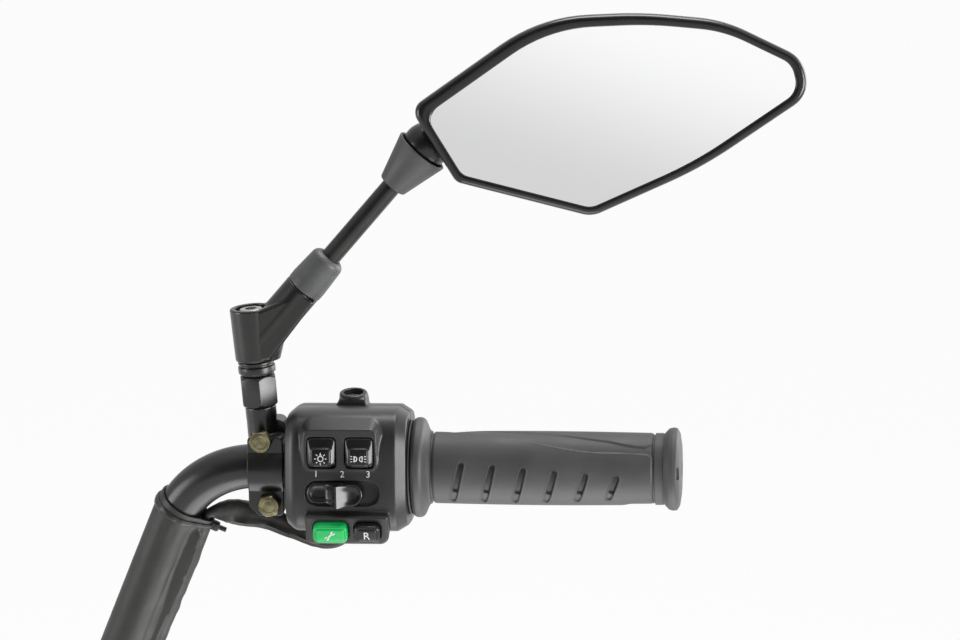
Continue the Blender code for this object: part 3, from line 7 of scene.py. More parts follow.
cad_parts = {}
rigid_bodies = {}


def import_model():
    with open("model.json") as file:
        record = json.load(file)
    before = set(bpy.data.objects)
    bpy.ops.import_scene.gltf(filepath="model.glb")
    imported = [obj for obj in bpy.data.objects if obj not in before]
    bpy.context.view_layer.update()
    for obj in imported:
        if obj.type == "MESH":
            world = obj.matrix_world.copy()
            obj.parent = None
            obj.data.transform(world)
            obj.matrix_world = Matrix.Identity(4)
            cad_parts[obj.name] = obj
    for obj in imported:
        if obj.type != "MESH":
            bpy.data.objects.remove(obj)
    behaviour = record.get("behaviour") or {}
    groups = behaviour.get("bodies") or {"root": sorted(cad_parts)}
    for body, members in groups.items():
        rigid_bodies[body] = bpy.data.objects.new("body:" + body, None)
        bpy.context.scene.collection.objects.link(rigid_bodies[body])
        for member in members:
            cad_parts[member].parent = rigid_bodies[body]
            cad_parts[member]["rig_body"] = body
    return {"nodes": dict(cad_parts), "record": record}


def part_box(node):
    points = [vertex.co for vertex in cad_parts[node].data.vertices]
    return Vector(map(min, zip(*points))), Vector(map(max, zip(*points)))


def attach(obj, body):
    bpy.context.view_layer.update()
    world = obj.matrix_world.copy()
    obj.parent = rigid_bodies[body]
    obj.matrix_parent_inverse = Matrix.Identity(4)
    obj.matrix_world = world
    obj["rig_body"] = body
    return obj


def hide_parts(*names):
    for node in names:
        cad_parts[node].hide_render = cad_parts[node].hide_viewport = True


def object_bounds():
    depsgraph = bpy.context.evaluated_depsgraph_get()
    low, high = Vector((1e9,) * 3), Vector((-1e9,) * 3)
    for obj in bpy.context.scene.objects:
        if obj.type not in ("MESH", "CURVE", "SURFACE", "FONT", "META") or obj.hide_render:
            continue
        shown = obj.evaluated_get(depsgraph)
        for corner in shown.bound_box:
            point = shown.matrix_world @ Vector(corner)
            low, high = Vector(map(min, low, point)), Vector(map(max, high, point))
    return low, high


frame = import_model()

cadLow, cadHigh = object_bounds()
gap = 0.0003
print("stage: frame loaded,", len(frame["nodes"]), "nodes")


# Places of the main pieces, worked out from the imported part
def turnAbout(degrees, axis):
    return Matrix.Rotation(radians(degrees), 4, axis)


def shift(x, y, z):
    return Matrix.Translation((x, y, z))


sealLow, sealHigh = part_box("throttle_seal")
sealMiddle = (sealLow + sealHigh) / 2
datum = Vector((sealLow.x - gap, sealMiddle.y, sealMiddle.z))  # on the grip's axis, at the case's right end
alongX = Vector((1, 0, 0))
barFrame = shift(*datum)
gripFrame = barFrame @ turnAbout(90, "Y")  # turned pieces: their Z runs along the bar
caseFrame = barFrame @ turnAbout(-7, "X")
podFrame = caseFrame @ shift(-0.029, -0.029, -0.028) @ turnAbout(22, "X")
neckFrame = barFrame @ shift(-0.0728, 0, 0) @ turnAbout(-4, "Y")
armFrame = neckFrame @ shift(0, 0, 0.0622) @ turnAbout(45, "Y")
ballFrame = armFrame @ shift(0, 0, 0.134)
headFrame = shift(*ballFrame.translation) @ turnAbout(7, "Z") @ turnAbout(-5, "X")


# Modelling tools
def clearSelection():
    if bpy.context.mode != "OBJECT":
        bpy.ops.object.mode_set(mode="OBJECT")
    bpy.ops.object.select_all(action="DESELECT")


def pick(piece):
    clearSelection()
    piece.select_set(True)
    bpy.context.view_layer.objects.active = piece
    return piece


def named(name):
    piece = bpy.context.object
    piece.name = name
    return piece


def closeUp(piece):  # seams and poles merged, faces turned outwards
    pick(piece)
    bpy.ops.object.mode_set(mode="EDIT")
    bpy.ops.mesh.select_all(action="SELECT")
    bpy.ops.mesh.remove_doubles(threshold=1e-6)
    bpy.ops.mesh.normals_make_consistent(inside=False)
    bpy.ops.object.mode_set(mode="OBJECT")
    return piece


def putAt(piece, place):
    pick(piece)
    piece.matrix_world = place @ piece.matrix_world
    bpy.ops.object.transform_apply(location=True, rotation=True, scale=True)
    return piece


def wrapRows(name, place, around, rows, shape):  # a grid rolled up: shape(side, row) puts each point
    clearSelection()
    last = len(rows) - 1
    bpy.ops.mesh.primitive_grid_add(x_subdivisions=around, y_subdivisions=last, size=1)
    piece = named(name)
    for vertex in piece.data.vertices:
        side = round((vertex.co.x + 0.5) * around) % around
        vertex.co = shape(side, rows[round((vertex.co.y + 0.5) * last)])
    return putAt(closeUp(piece), place)


def turnPiece(name, place, profile, sides=64):  # a line of (height, radius) spun round its Z axis
    clearSelection()
    height, radius = profile[0]
    bpy.ops.mesh.primitive_plane_add(size=0.001, location=(radius, 0, height))
    piece = named(name)
    bpy.ops.object.mode_set(mode="EDIT")
    bpy.ops.mesh.select_mode(type="VERT")
    bpy.ops.mesh.merge(type="CENTER")
    for (z0, r0), (z1, r1) in zip(profile, profile[1:]):
        bpy.ops.mesh.extrude_region_move(TRANSFORM_OT_translate={"value": (r1 - r0, 0, z1 - z0)})
    bpy.ops.mesh.select_all(action="SELECT")
    bpy.ops.mesh.spin(steps=sides, angle=2 * pi, center=(0, 0, 0), axis=(0, 0, 1))
    return putAt(closeUp(piece), place)


def softLine(corners, steps=4, closed=False):  # corners (a, b, radius) joined by arcs
    points = []
    for k, (a, b, *soft) in enumerate(corners):
        here = Vector((a, b))
        if not soft or (not closed and k in (0, len(corners) - 1)):
            points.append((a, b))
            continue
        before = (Vector(corners[k - 1][:2]) - here).normalized()
        after = (Vector(corners[(k + 1) % len(corners)][:2]) - here).normalized()
        half = before.angle(after) / 2
        centre = here + (before + after).normalized() * soft[0] / sin(half)
        first = here + before * soft[0] / tan(half) - centre
        sweep = first.angle_signed(here + after * soft[0] / tan(half) - centre)
        for step in range(steps + 1):
            points.append(tuple(centre + Matrix.Rotation(-sweep * step / steps, 2) @ first))
    return points


def rodPiece(name, place, low, high, radius, sides, flare=0.0):
    return turnPiece(name, place, [(low, 0), (low, radius), (high, radius + flare), (high, 0)], sides)


def softBox(width, height, radius, steps=6, x=0.0, z=0.0):  # rounded rectangle round (x, z)
    corners = ((-1, -1), (1, -1), (1, 1), (-1, 1))
    return softLine([(x + width / 2 * a, z + height / 2 * b, radius) for a, b in corners], steps, closed=True)


def grown(outline, grow):  # every point moved out square to the outline
    moved = []
    for k, point in enumerate(outline):
        before, after = Vector(outline[k - 1]), Vector(outline[(k + 1) % len(outline)])
        along = (after - before).normalized()
        moved.append((point[0] + along.y * grow, point[1] - along.x * grow))
    return moved


def stackPiece(name, place, outline, levels):  # an outline in X and Z stacked along Y, (level, grow) each
    middle = (sum(p[0] for p in outline) / len(outline), sum(p[1] for p in outline) / len(outline))
    rows = [(levels[0][0], None)] + list(levels) + [(levels[-1][0], None)]
    rings = {grow: grown(outline, grow) for level, grow in levels}

    def shape(side, row):
        level, grow = row
        a, b = middle if grow is None else rings[grow][side]
        return Vector((a, level, b))

    return wrapRows(name, place, len(outline), rows, shape)


def prismPiece(name, place, outline, near, far):
    return stackPiece(name, place, outline, ((near, 0.0), (far, 0.0)))


def ringPiece(name, place, corners, steps, sides):  # a section with soft corners spun into a closed ring
    profile = softLine(corners, steps)
    return turnPiece(name, place, profile + [profile[0]], sides)


def loftPiece(name, place, rings):  # rings of points with equal counts, closed over at both ends
    poles = [[sum(ring, Vector()) / len(ring)] * len(ring) for ring in (rings[0], rings[-1])]
    return wrapRows(name, place, len(rings[0]), [poles[0], *rings, poles[1]], lambda side, ring: ring[side])


def boxPiece(name, place, low, high):
    clearSelection()
    low, high = Vector(low), Vector(high)
    bpy.ops.mesh.primitive_cube_add(size=1, location=(low + high) / 2, scale=high - low)
    return putAt(named(name), place)


def finishWith(piece, kind, **settings):
    pick(piece)
    bpy.ops.object.modifier_add(type=kind)
    modifier = piece.modifiers[-1]
    for key, value in settings.items():
        setattr(modifier, key, value)
    bpy.ops.object.modifier_apply(modifier=modifier.name)
    return piece


def roundEdges(piece, width, segments=3, angle=35):
    limits = {"limit_method": "ANGLE", "angle_limit": radians(angle)}
    return finishWith(piece, "BEVEL", width=width, segments=segments, **limits)


def carve(piece, *tools, operation="DIFFERENCE"):
    for tool in tools:
        finishWith(piece, "BOOLEAN", operation=operation, solver="EXACT", object=tool)
        bpy.data.objects.remove(tool)
    return piece


def addTo(piece, *others):
    return carve(piece, *others, operation="UNION")


def joinTo(piece, *others):
    pick(piece)
    for other in others:
        other.select_set(True)
    bpy.ops.object.join()
    return piece


def castForm(piece, voxel, passes, keep=1.0):  # one skin with soft edges, as moulded or cast
    finishWith(piece, "REMESH", mode="VOXEL", voxel_size=voxel)
    finishWith(piece, "SMOOTH", factor=0.5, iterations=passes)
    if keep < 1.0:
        finishWith(piece, "DECIMATE", ratio=keep)
    return piece


def copyOf(piece, name, move):
    pick(piece)
    bpy.ops.object.duplicate(linked=False)
    return putAt(named(name), move)


def smoothStep(value, low, high):
    share = min(max((value - low) / (high - low), 0.0), 1.0)
    return share * share * (3 - 2 * share)


# Finishes
def startFinish(name, colour, roughness, metallic=0.0):
    material = bpy.data.materials.new(name)
    material.use_nodes = True
    tree = material.node_tree
    shader = tree.nodes["Principled BSDF"]
    shader.inputs["Base Color"].default_value = (*colour, 1)
    shader.inputs["Roughness"].default_value = roughness
    shader.inputs["Metallic"].default_value = metallic
    place = tree.nodes.new("ShaderNodeTexCoord").outputs["Object"]
    return material, tree, shader, place


def mottle(tree, place, scale, detail=3.0, stretch=(1, 1, 1)):
    mapping = tree.nodes.new("ShaderNodeMapping")
    mapping.inputs["Scale"].default_value = stretch
    tree.links.new(place, mapping.inputs["Vector"])
    texture = tree.nodes.new("ShaderNodeTexNoise")
    texture.inputs["Scale"].default_value = scale
    texture.inputs["Detail"].default_value = detail
    tree.links.new(mapping.outputs["Vector"], texture.inputs["Vector"])
    return texture.outputs[0]


def pebbles(tree, place, scale):
    texture = tree.nodes.new("ShaderNodeTexVoronoi")
    texture.inputs["Scale"].default_value = scale
    tree.links.new(place, texture.inputs["Vector"])
    return texture.outputs["Distance"]


def spread(tree, value, low, high, fromLow=0.3, fromHigh=0.7):
    node = tree.nodes.new("ShaderNodeMapRange")
    node.inputs["From Min"].default_value = fromLow
    node.inputs["From Max"].default_value = fromHigh
    node.inputs["To Min"].default_value = low
    node.inputs["To Max"].default_value = high
    node.interpolation_type = "SMOOTHSTEP"
    tree.links.new(value, node.inputs["Value"])
    return node.outputs["Result"]


def tint(tree, value, dark, light):
    node = tree.nodes.new("ShaderNodeMix")
    node.data_type = "RGBA"
    node.inputs[6].default_value = (*dark, 1)
    node.inputs[7].default_value = (*light, 1)
    tree.links.new(value, node.inputs[0])
    return node.outputs[2]


def colourBy(tree, shader, value, dark, light, *limits):
    tree.links.new(tint(tree, spread(tree, value, 0, 1, *limits), dark, light), shader.inputs["Base Color"])


def relief(tree, shader, *layers):  # (value, depth in metres) laid over each other
    normal = None
    for value, depth in layers:
        node = tree.nodes.new("ShaderNodeBump")
        node.inputs["Distance"].default_value = depth
        tree.links.new(value, node.inputs["Height"])
        if normal:
            tree.links.new(normal, node.inputs["Normal"])
        normal = node.outputs["Normal"]
    tree.links.new(normal, shader.inputs["Normal"])


def mouldedFinish(name, dark, light, roughness, grain, depth, metallic=0.0):
    material, tree, shader, place = startFinish(name, light, roughness[1], metallic)
    patches = mottle(tree, place, 60.0, 4.0)
    colourBy(tree, shader, patches, dark, light)
    tree.links.new(spread(tree, patches, *roughness), shader.inputs["Roughness"])
    relief(tree, shader, (mottle(tree, place, grain, 2.0), depth))
    return material


def sleeveVinyl():
    material, tree, shader, place = startFinish("sleeve_vinyl", (0.03, 0.029, 0.027), 0.4)
    patches = mottle(tree, place, 70, 4.0)
    skin = pebbles(tree, place, 1600)
    creases = mottle(tree, place, 260, 5.0, (1, 1, 0.35))
    colourBy(tree, shader, patches, (0.010, 0.0096, 0.0088), (0.016, 0.0152, 0.0138))
    tree.links.new(spread(tree, patches, 0.42, 0.54), shader.inputs["Roughness"])
    relief(tree, shader, (skin, 0.000006), (creases, 0.00003))
    return material


def zincGold():
    material, tree, shader, place = startFinish("zinc_gold", (0.3, 0.26, 0.12), 0.36, 1.0)
    patches = mottle(tree, place, 420, 4.0)
    scratches = mottle(tree, place, 2600, 2.0, (1, 0.12, 1))
    colourBy(tree, shader, patches, (0.14, 0.128, 0.074), (0.29, 0.262, 0.152))
    tree.links.new(spread(tree, scratches, 0.28, 0.46), shader.inputs["Roughness"])
    relief(tree, shader, (patches, 0.00002))
    return material


def brushedSteel():
    material, tree, shader, place = startFinish("steel", (0.42, 0.42, 0.41), 0.32, 1.0)
    lines = mottle(tree, place, 1800, 2.0, (1, 1, 0.08))
    patches = mottle(tree, place, 150, 3.0)
    colourBy(tree, shader, patches, (0.33, 0.33, 0.325), (0.48, 0.48, 0.47))
    tree.links.new(spread(tree, lines, 0.24, 0.44), shader.inputs["Roughness"])
    relief(tree, shader, (lines, 0.000008))
    return material


def mirrorGlass():
    material, tree, shader, place = startFinish("mirror", (0.955, 0.958, 0.958), 0.02, 1.0)
    haze = mottle(tree, place, 45, 3.0)
    tree.links.new(spread(tree, haze, 0.012, 0.035), shader.inputs["Roughness"])
    return material


def boardGreen():
    material, tree, shader, place = startFinish("board", (0.02, 0.16, 0.06), 0.5)
    tracks = pebbles(tree, place, 500)
    colourBy(tree, shader, tracks, (0.03, 0.20, 0.075), (0.015, 0.13, 0.05), 0.2, 0.5)
    relief(tree, shader, (tracks, 0.00003))
    return material


# Moulded finishes: dark and light colour, roughness, grain to the metre, its depth, and 1 for metal
mouldedLooks = {
    "black_paint": ((0.006, 0.0058, 0.0054), (0.010, 0.0097, 0.0089), (0.27, 0.37), 900, 6e-6),
    "satin_plastic": ((0.014, 0.014, 0.0141), (0.018, 0.018, 0.0181), (0.31, 0.39), 3800, 3e-6),
    "gloss_plastic": ((0.006, 0.006, 0.006), (0.009, 0.009, 0.009), (0.18, 0.26), 1400, 3e-6),
    "green_plastic": ((0.0007, 0.33, 0.068), (0.002, 0.38, 0.085), (0.26, 0.36), 2600, 3e-6),
    "rubber": ((0.043, 0.0435, 0.043), (0.051, 0.0515, 0.051), (0.48, 0.58), 5200, 5e-6),
    "grey_rubber": ((0.056, 0.058, 0.057), (0.070, 0.072, 0.071), (0.42, 0.52), 4200, 5e-6),
    "nylon": ((0.68, 0.67, 0.61), (0.78, 0.77, 0.72), (0.38, 0.50), 2600, 1e-5),
    "foam": ((0.035, 0.035, 0.035), (0.06, 0.06, 0.06), (0.85, 0.95), 2400, 2e-4),
    "magnet": ((0.13, 0.13, 0.14), (0.19, 0.19, 0.20), (0.28, 0.42), 1800, 1e-5, 1.0),
    "white_print": ((0.50, 0.50, 0.50), (0.60, 0.60, 0.60), (0.40, 0.55), 5000, 4e-6),
}
finishes = {name: mouldedFinish(name, *settings) for name, settings in mouldedLooks.items()}
finishes |= {"sleeve_vinyl": sleeveVinyl(), "zinc_gold": zincGold(), "steel": brushedSteel(),
             "mirror": mirrorGlass(), "board": boardGreen()}
paint = finishes["black_paint"].node_tree.nodes["Principled BSDF"].inputs  # under a thin clear coat
paint["Coat Weight"].default_value = 0.15
paint["Coat Roughness"].default_value = 0.2


def dress(piece, look, *nodes, angle=32):  # a piece that stands for CAD nodes
    pick(piece)
    bpy.ops.object.shade_smooth_by_angle(angle=radians(angle))
    piece.data.materials.clear()
    piece.data.materials.append(finishes[look])
    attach(piece, frame["nodes"][nodes[0]]["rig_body"])
    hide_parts(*nodes)
    return piece


def printOn(piece, name, body):  # a white mark attached to a body
    pick(piece)
    bpy.ops.object.shade_smooth_by_angle(angle=radians(30))
    piece.name = name
    piece.data.materials.clear()
    piece.data.materials.append(finishes["white_print"])
    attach(piece, body)


print("stage: finishes made")

# Bar: straight under the grip, then bent down and forward
bar = {"radius": 0.0111, "wall": 0.002, "reach": 0.126, "bendStart": 0.0775, "bendRadius": 0.047,
       "turn": radians(67.2), "rake": radians(11.9), "leg": 0.110, "bendSteps": 28, "sides": 64,
       "edge": 0.0003}
rakeDown = Vector((0, sin(bar["rake"]), -cos(bar["rake"])))
bendNormal = alongX.cross(rakeDown)
legDirection = rakeDown * sin(bar["turn"]) - alongX * cos(bar["turn"])
bendLength = bar["bendRadius"] * bar["turn"]


def barStation(distance):  # axis point and inner side at a distance past the end of the bend
    turn = min(max(bar["turn"] + distance / bar["bendRadius"], 0.0), bar["turn"])
    straight = max(-distance - bendLength, 0.0)
    centre = alongX * (straight - bar["bendStart"] - bar["bendRadius"] * sin(turn))
    centre += rakeDown * bar["bendRadius"] * (1 - cos(turn)) + legDirection * max(distance, 0.0)
    return centre, rakeDown * cos(turn) + alongX * sin(turn)


def onBar(distance, angle, radius):
    centre, inward = barStation(distance)
    return centre + (inward * cos(angle) + bendNormal * sin(angle)) * radius


def makeBar():
    radius, bore, edge = bar["radius"], bar["radius"] - bar["wall"], bar["edge"]
    run = [-bendLength - bar["bendStart"] - bar["reach"]]
    run += [-bendLength * (1 - k / bar["bendSteps"]) for k in range(bar["bendSteps"] + 1)]
    run.append(bar["leg"] - edge)
    rows = [(place, radius) for place in run] + [(bar["leg"], radius - edge), (bar["leg"], bore + edge)]
    rows += [(place, bore) for place in run[::-1]] + [(run[0], radius)]
    sides = bar["sides"]

    def shape(side, row):
        return onBar(row[0], 2 * pi * side / sides, row[1])

    dress(wrapRows("bar_tube", barFrame, sides, rows, shape), "black_paint", "handlebar_tube")


makeBar()

# Soft sleeve round the leg, with a lobe round the lead
sleeve = {"wall": 0.001, "start": -0.0095, "end": 0.090, "lobe": 0.0059, "swell": 0.0008, "sharpness": 9,
          "sides": 200, "rows": 120, "inner": 0.0114, "skin": 0.0004, "fold": 0.0081, "foldAngle": 0.50,
          "foldEnd": 1.2, "valley": 0.0006, "valleyAngle": 0.80, "ridge": 0.0008, "wrinkle": 0.00045,
          "gather": 0.0005, "gathers": 15, "gatherFade": 0.014}
tie = {"offset": 0.0030, "width": 0.0030, "thickness": 0.0010, "head": 0.0044, "tail": 0.0040}


def sleeveRadius(distance, angle):  # plain skin of the sleeve
    share = (distance - sleeve["start"]) / (sleeve["end"] - sleeve["start"])
    lobe = sleeve["lobe"] + sleeve["swell"] * sin(pi * min(max(share, 0.0), 1.0))
    bulge = lobe * max(0.0, cos(angle)) ** sleeve["sharpness"]
    return bar["radius"] + gap + sleeve["wall"] + bulge


def sleeveFold(distance, turn):  # flat flank of the lobe, ending in a crease on the rider's side
    if not -sleeve["foldEnd"] < turn < 0:
        return 0.0
    flank = sleeve["fold"] * (1 + 0.05 * sin(distance * 75)) / sin(max(-turn, sleeve["foldAngle"]))
    return max(0.0, flank - sleeveRadius(distance, turn)) * smoothStep(-turn, 0.10, 0.42)


def sleeveCreases(distance, angle):
    past = distance - sleeve["start"] - tie["offset"] - tie["width"]
    free = smoothStep(past, 0.0, 0.007)
    turn = (angle + pi) % (2 * pi) - pi
    valley = exp(-((abs(turn) - sleeve["valleyAngle"]) / 0.16) ** 2)
    onLobe = max(0.0, cos(angle)) ** 4
    line = -0.46 - 0.06 * sin(distance * 42 + 0.4)
    ridge = exp(-((turn - line) / 0.07) ** 2) - 0.6 * exp(-((turn - line - 0.2) / 0.11) ** 2)
    spot = Vector((distance * 80, turn * 2.4, 3.7))
    wrinkle = noise.noise(spot) + 0.6 * noise.noise(spot * 2.3)
    wander = 2 * noise.noise(Vector((turn * 2, 0, 9)))
    gather = cos(turn * sleeve["gathers"] + wander) * exp(-max(past, 0.0) / sleeve["gatherFade"])
    height = sleeve["ridge"] * ridge * onLobe + sleeve["wrinkle"] * wrinkle * (0.16 + onLobe)
    height += sleeveFold(distance, turn)
    return free * (height - sleeve["valley"] * valley + sleeve["gather"] * gather * (0.3 + onLobe))


def makeSleeve():
    start, end, wall = sleeve["start"], sleeve["end"], sleeve["wall"]
    steps = sleeve["rows"]
    run = [start + (end - start) * k / steps for k in range(steps + 1)]
    rows = [(place, True) for place in run] + [(place, False) for place in run[::-6]] + [(start, True)]
    sides = sleeve["sides"]

    def shape(side, row):
        angle = 2 * pi * side / sides
        radius = sleeveRadius(row[0], angle) + sleeveCreases(row[0], angle)
        radius = max(radius, sleeve["inner"] + sleeve["skin"])
        inner = max(sleeve["inner"], min(radius, sleeveRadius(row[0], angle)) - wall)
        return onBar(row[0], angle, radius if row[1] else inner)

    dress(wrapRows("sleeve", barFrame, sides, rows, shape), "sleeve_vinyl", "cable_sleeve", angle=60)


def makeTie():
    near = sleeve["start"] + tie["offset"]
    far = near + tie["width"]
    low, edge, crown, soft = gap * 0.3, tie["thickness"] * 0.8, tie["thickness"] * 1.1, 0.0003
    middle = (near + far) / 2
    corners = [(near, low), (near, edge, soft), (middle, crown, soft), (far, edge, soft), (far, low)]
    section = softLine(corners, 3)
    section.append(section[0])
    sides = sleeve["sides"]

    def shape(side, row):
        angle = 2 * pi * side / sides
        kink = 0.0003 * noise.noise(Vector((angle * 4.1, row[0] * 200, 1.0)))
        return onBar(row[0], angle, sleeveRadius(row[0], angle) + row[1] + kink)

    band = wrapRows("tie_band", barFrame, sides, section, shape)
    centre, inward = barStation(middle)
    reach = sleeveRadius(middle, 0.0) + tie["head"] * 0.36
    turn = Matrix((inward, bendNormal, inward.cross(bendNormal))).transposed().to_4x4()
    place = barFrame @ shift(*(centre + inward * reach)) @ turn
    half = tie["head"] / 2
    head = roundEdges(boxPiece("tie_head", place, (-half, -half, -half), (half, half, half)), 0.0008)
    lip = roundEdges(boxPiece("tie_lip", place, (-half * 0.2, -half * 1.06, -half * 0.6),
                              (half * 1.12, half * 0.2, half * 0.6)), 0.0003)
    tail = boxPiece("tie_tail", place @ turnAbout(-4, "Y"), (half * 0.6, -half * 0.72, -0.0007),
                    (half + tie["tail"], half * 0.72, 0.0007))
    joinTo(band, head, lip, roundEdges(tail, 0.0003))
    dress(band, "satin_plastic", "sleeve_tie")


makeSleeve()
makeTie()

# Lead from the sleeve to the gland under the case: place, half height and half thickness
lead = {"radius": 0.0026, "tall": 0.0062, "flat": 0.0032, "reach": 0.0016, "sides": 36, "steps": 9,
        "crease": 0.0014, "wrinkle": 0.0004}
gland = {"x": -0.036, "y": 0.007, "top": -0.028, "under": -0.031, "length": 0.006, "radius": 0.0058,
         "hole": 0.0047}
connector = {"length": 0.014, "width": 0.009, "depth": 0.0066, "socketTall": 0.0017, "socketWide": 0.0013,
             "socketSide": 0.002, "socketDeep": 0.006, "latch": 0.0016}


def leadRoute():
    thin, tall, flat = lead["radius"], lead["tall"], lead["flat"]
    beside = bar["radius"] + gap * 2 + thin
    route = []
    for distance in (sleeve["end"] + lead["reach"], sleeve["end"] / 2, 0.0, sleeve["start"] / 2,
                     sleeve["start"] - thin):
        centre, inward = barStation(distance)
        route.append((*(centre + inward * beside), thin, thin))
    route += [
        (-0.0960, 0.0090, -0.0262, tall * 0.92, flat * 0.9),
        (-0.0885, 0.0125, -0.0280, tall * 1.12, flat),
        (-0.0760, 0.0135, -0.0306, tall, flat),
        (-0.0640, 0.0130, -0.0356, tall * 0.84, flat),
        (-0.0530, 0.0110, -0.0402, tall * 0.68, flat),
        (-0.0440, 0.0085, -0.0422, flat, flat),
    ]
    tilt = turnAbout(-7, "X")
    for height in (-0.0382, -0.0343, gland["top"]):
        route.append((*(tilt @ Vector((gland["x"], gland["y"], height))), thin, thin))
    return route


def smoothRoute(points, steps):
    ends = [points[0]] + list(points) + [points[-1]]
    curve = []
    for k in range(len(points) - 1):
        a, b, c, d = (Vector(ends[k + n]) for n in range(4))
        for step in range(steps):
            t = step / steps
            bend = (2 * a - 5 * b + 4 * c - d) * t ** 2 + (3 * b - a - 3 * c + d) * t ** 3
            curve.append(b + ((c - a) * t + bend) / 2)
    return curve + [Vector(points[-1])]


def makeLead():
    stations = []
    curve = smoothRoute(leadRoute(), lead["steps"])
    for k, station in enumerate(curve):
        ahead, behind = curve[min(k + 1, len(curve) - 1)], curve[max(k - 1, 0)]
        tangent = (Vector(ahead[:3]) - Vector(behind[:3])).normalized()
        across = (Vector((0, 1, 0)) - tangent * tangent.y).normalized()
        share = k / (len(curve) - 1)
        stations.append((Vector(station[:3]), across.cross(tangent), across, station[3], station[4], share))
    rows = [(stations[0], 0.0)] + [(station, 1.0) for station in stations] + [(stations[-1], 0.0)]
    sides = lead["sides"]

    def shape(side, row):
        (centre, tall, across, height, depth, share), scale = row
        angle = 2 * pi * side / sides
        loose = smoothStep(height, lead["radius"] * 1.05, lead["tall"] * 0.7)
        fold = -pi / 2 + 0.55 - 1.5 * (share - 0.45)
        turn = (angle - fold + pi) % (2 * pi) - pi
        crease = lead["crease"] * (exp(-(turn / 0.18) ** 2) - 0.6 * exp(-((turn - 0.5) / 0.25) ** 2))
        wrinkle = lead["wrinkle"] * noise.noise(Vector((share * 34, angle * 1.4, 5)))
        extra = loose * (crease + wrinkle)
        return centre + scale * (tall * (height + extra) * cos(angle) + across * (depth + extra) * sin(angle))

    dress(wrapRows("lead", barFrame, sides, rows, shape), "sleeve_vinyl", "wiring_loom", angle=60)


def makeConnector():
    beside = bar["radius"] + gap * 2 + lead["radius"]
    centre, inward = barStation(sleeve["end"] + lead["reach"] + gap)
    turn = Matrix((inward, -bendNormal, legDirection)).transposed().to_4x4()
    place = barFrame @ shift(*(centre + inward * beside)) @ turn
    low, high = -lead["radius"], connector["depth"] - lead["radius"]
    half, length = connector["width"] / 2, connector["length"]
    body = boxPiece("connector", Matrix(), (low, -half, 0), (high, half, length))
    x, tall, wide = (low + high) / 2, connector["socketTall"], connector["socketWide"]
    for y in (-connector["socketSide"], connector["socketSide"]):
        carve(body, boxPiece("plug_socket", Matrix(), (x - tall, y - wide, length - connector["socketDeep"]),
                             (x + tall, y + wide, length * 1.1)))
    roundEdges(body, 0.0005)
    y = connector["latch"]
    latch = boxPiece("latch", Matrix(), (high - 0.0004, -y, 0.003), (high + 0.0009, y, 0.011))
    joinTo(body, roundEdges(latch, 0.0004))
    dress(putAt(body, place), "satin_plastic", "loom_connector")


def makeGland():
    under, waist, bore = gland["under"], gland["radius"] - 0.0014, lead["radius"] + gap
    bottom = under - gland["length"] * 0.5
    profile = [(bottom, bore), (bottom, waist - 0.0006)]
    for rib in range(2):
        low = bottom + 0.0006 + rib * 0.0011
        profile += [(low, waist - 0.0003), (low + 0.0002, waist + 0.0004 + rib * 0.0004),
                    (low + 0.0006, waist + 0.0004)]
    seat, flange, top = under - gap * 2, gland["radius"], gland["top"]
    profile += [(under - 0.0012, flange), (seat, flange), (seat, waist)]
    profile += [(top, waist), (top, bore), (bottom, bore)]
    place = caseFrame @ shift(gland["x"], gland["y"], 0)
    dress(turnPiece("gland", place, profile, 40), "rubber", "loom_gland")


makeLead()
makeConnector()
makeGland()
print("stage: bar, sleeve and lead")

# Mirror clamp round the bar, with the neck on its front half
clamp = {"centre": -0.0716, "width": 0.0178, "radius": 0.0158, "ear": 0.0125, "split": 0.0004,
         "bottom": -0.0226, "shoulder": 0.018, "rearTop": 0.024, "spacing": 0.0164, "stagger": 0.0017,
         "cornerCut": 0.005, "voxel": 0.0003}
neck = {"radius": 0.00775, "foot": 0.02514, "top": 0.0315, "base": 0.0115}
bolt = {"flats": 0.0105, "height": 0.0045, "radius": 0.003, "length": 0.021}


def roundBar(name, radius, left, right, sides=96):
    clearSelection()
    place = {"location": ((left + right) / 2, 0, 0), "rotation": (0, pi / 2, 0)}
    bpy.ops.mesh.primitive_cylinder_add(vertices=sides, radius=radius, depth=right - left, **place)
    return putAt(named(name), Matrix())


def halfOf(piece, side, split):  # cuts away everything past the split plane, keeping one side of Y
    near, far = sorted((side * split, -side * 0.1))
    return carve(piece, boxPiece("other_side", Matrix(), (-0.2, near, -0.1), (0.1, far, 0.1)))


def clampHalf(name, side, top, corner):
    left, right = clamp["centre"] - clamp["width"] / 2, clamp["centre"] + clamp["width"] / 2
    half = roundBar(name, clamp["radius"], left, right)
    low = clamp["bottom"]
    outline = softLine([(left, low + clamp["cornerCut"], 0.002), (left + clamp["cornerCut"], low, 0.002),
                        (right, low, 0.003), (right, top, corner), (left, top, 0.002)], 5, closed=True)
    near, far = sorted((-side * 0.002, side * clamp["ear"]))
    return addTo(half, prismPiece("ears", Matrix(), grown(outline, -0.00002), near, far))


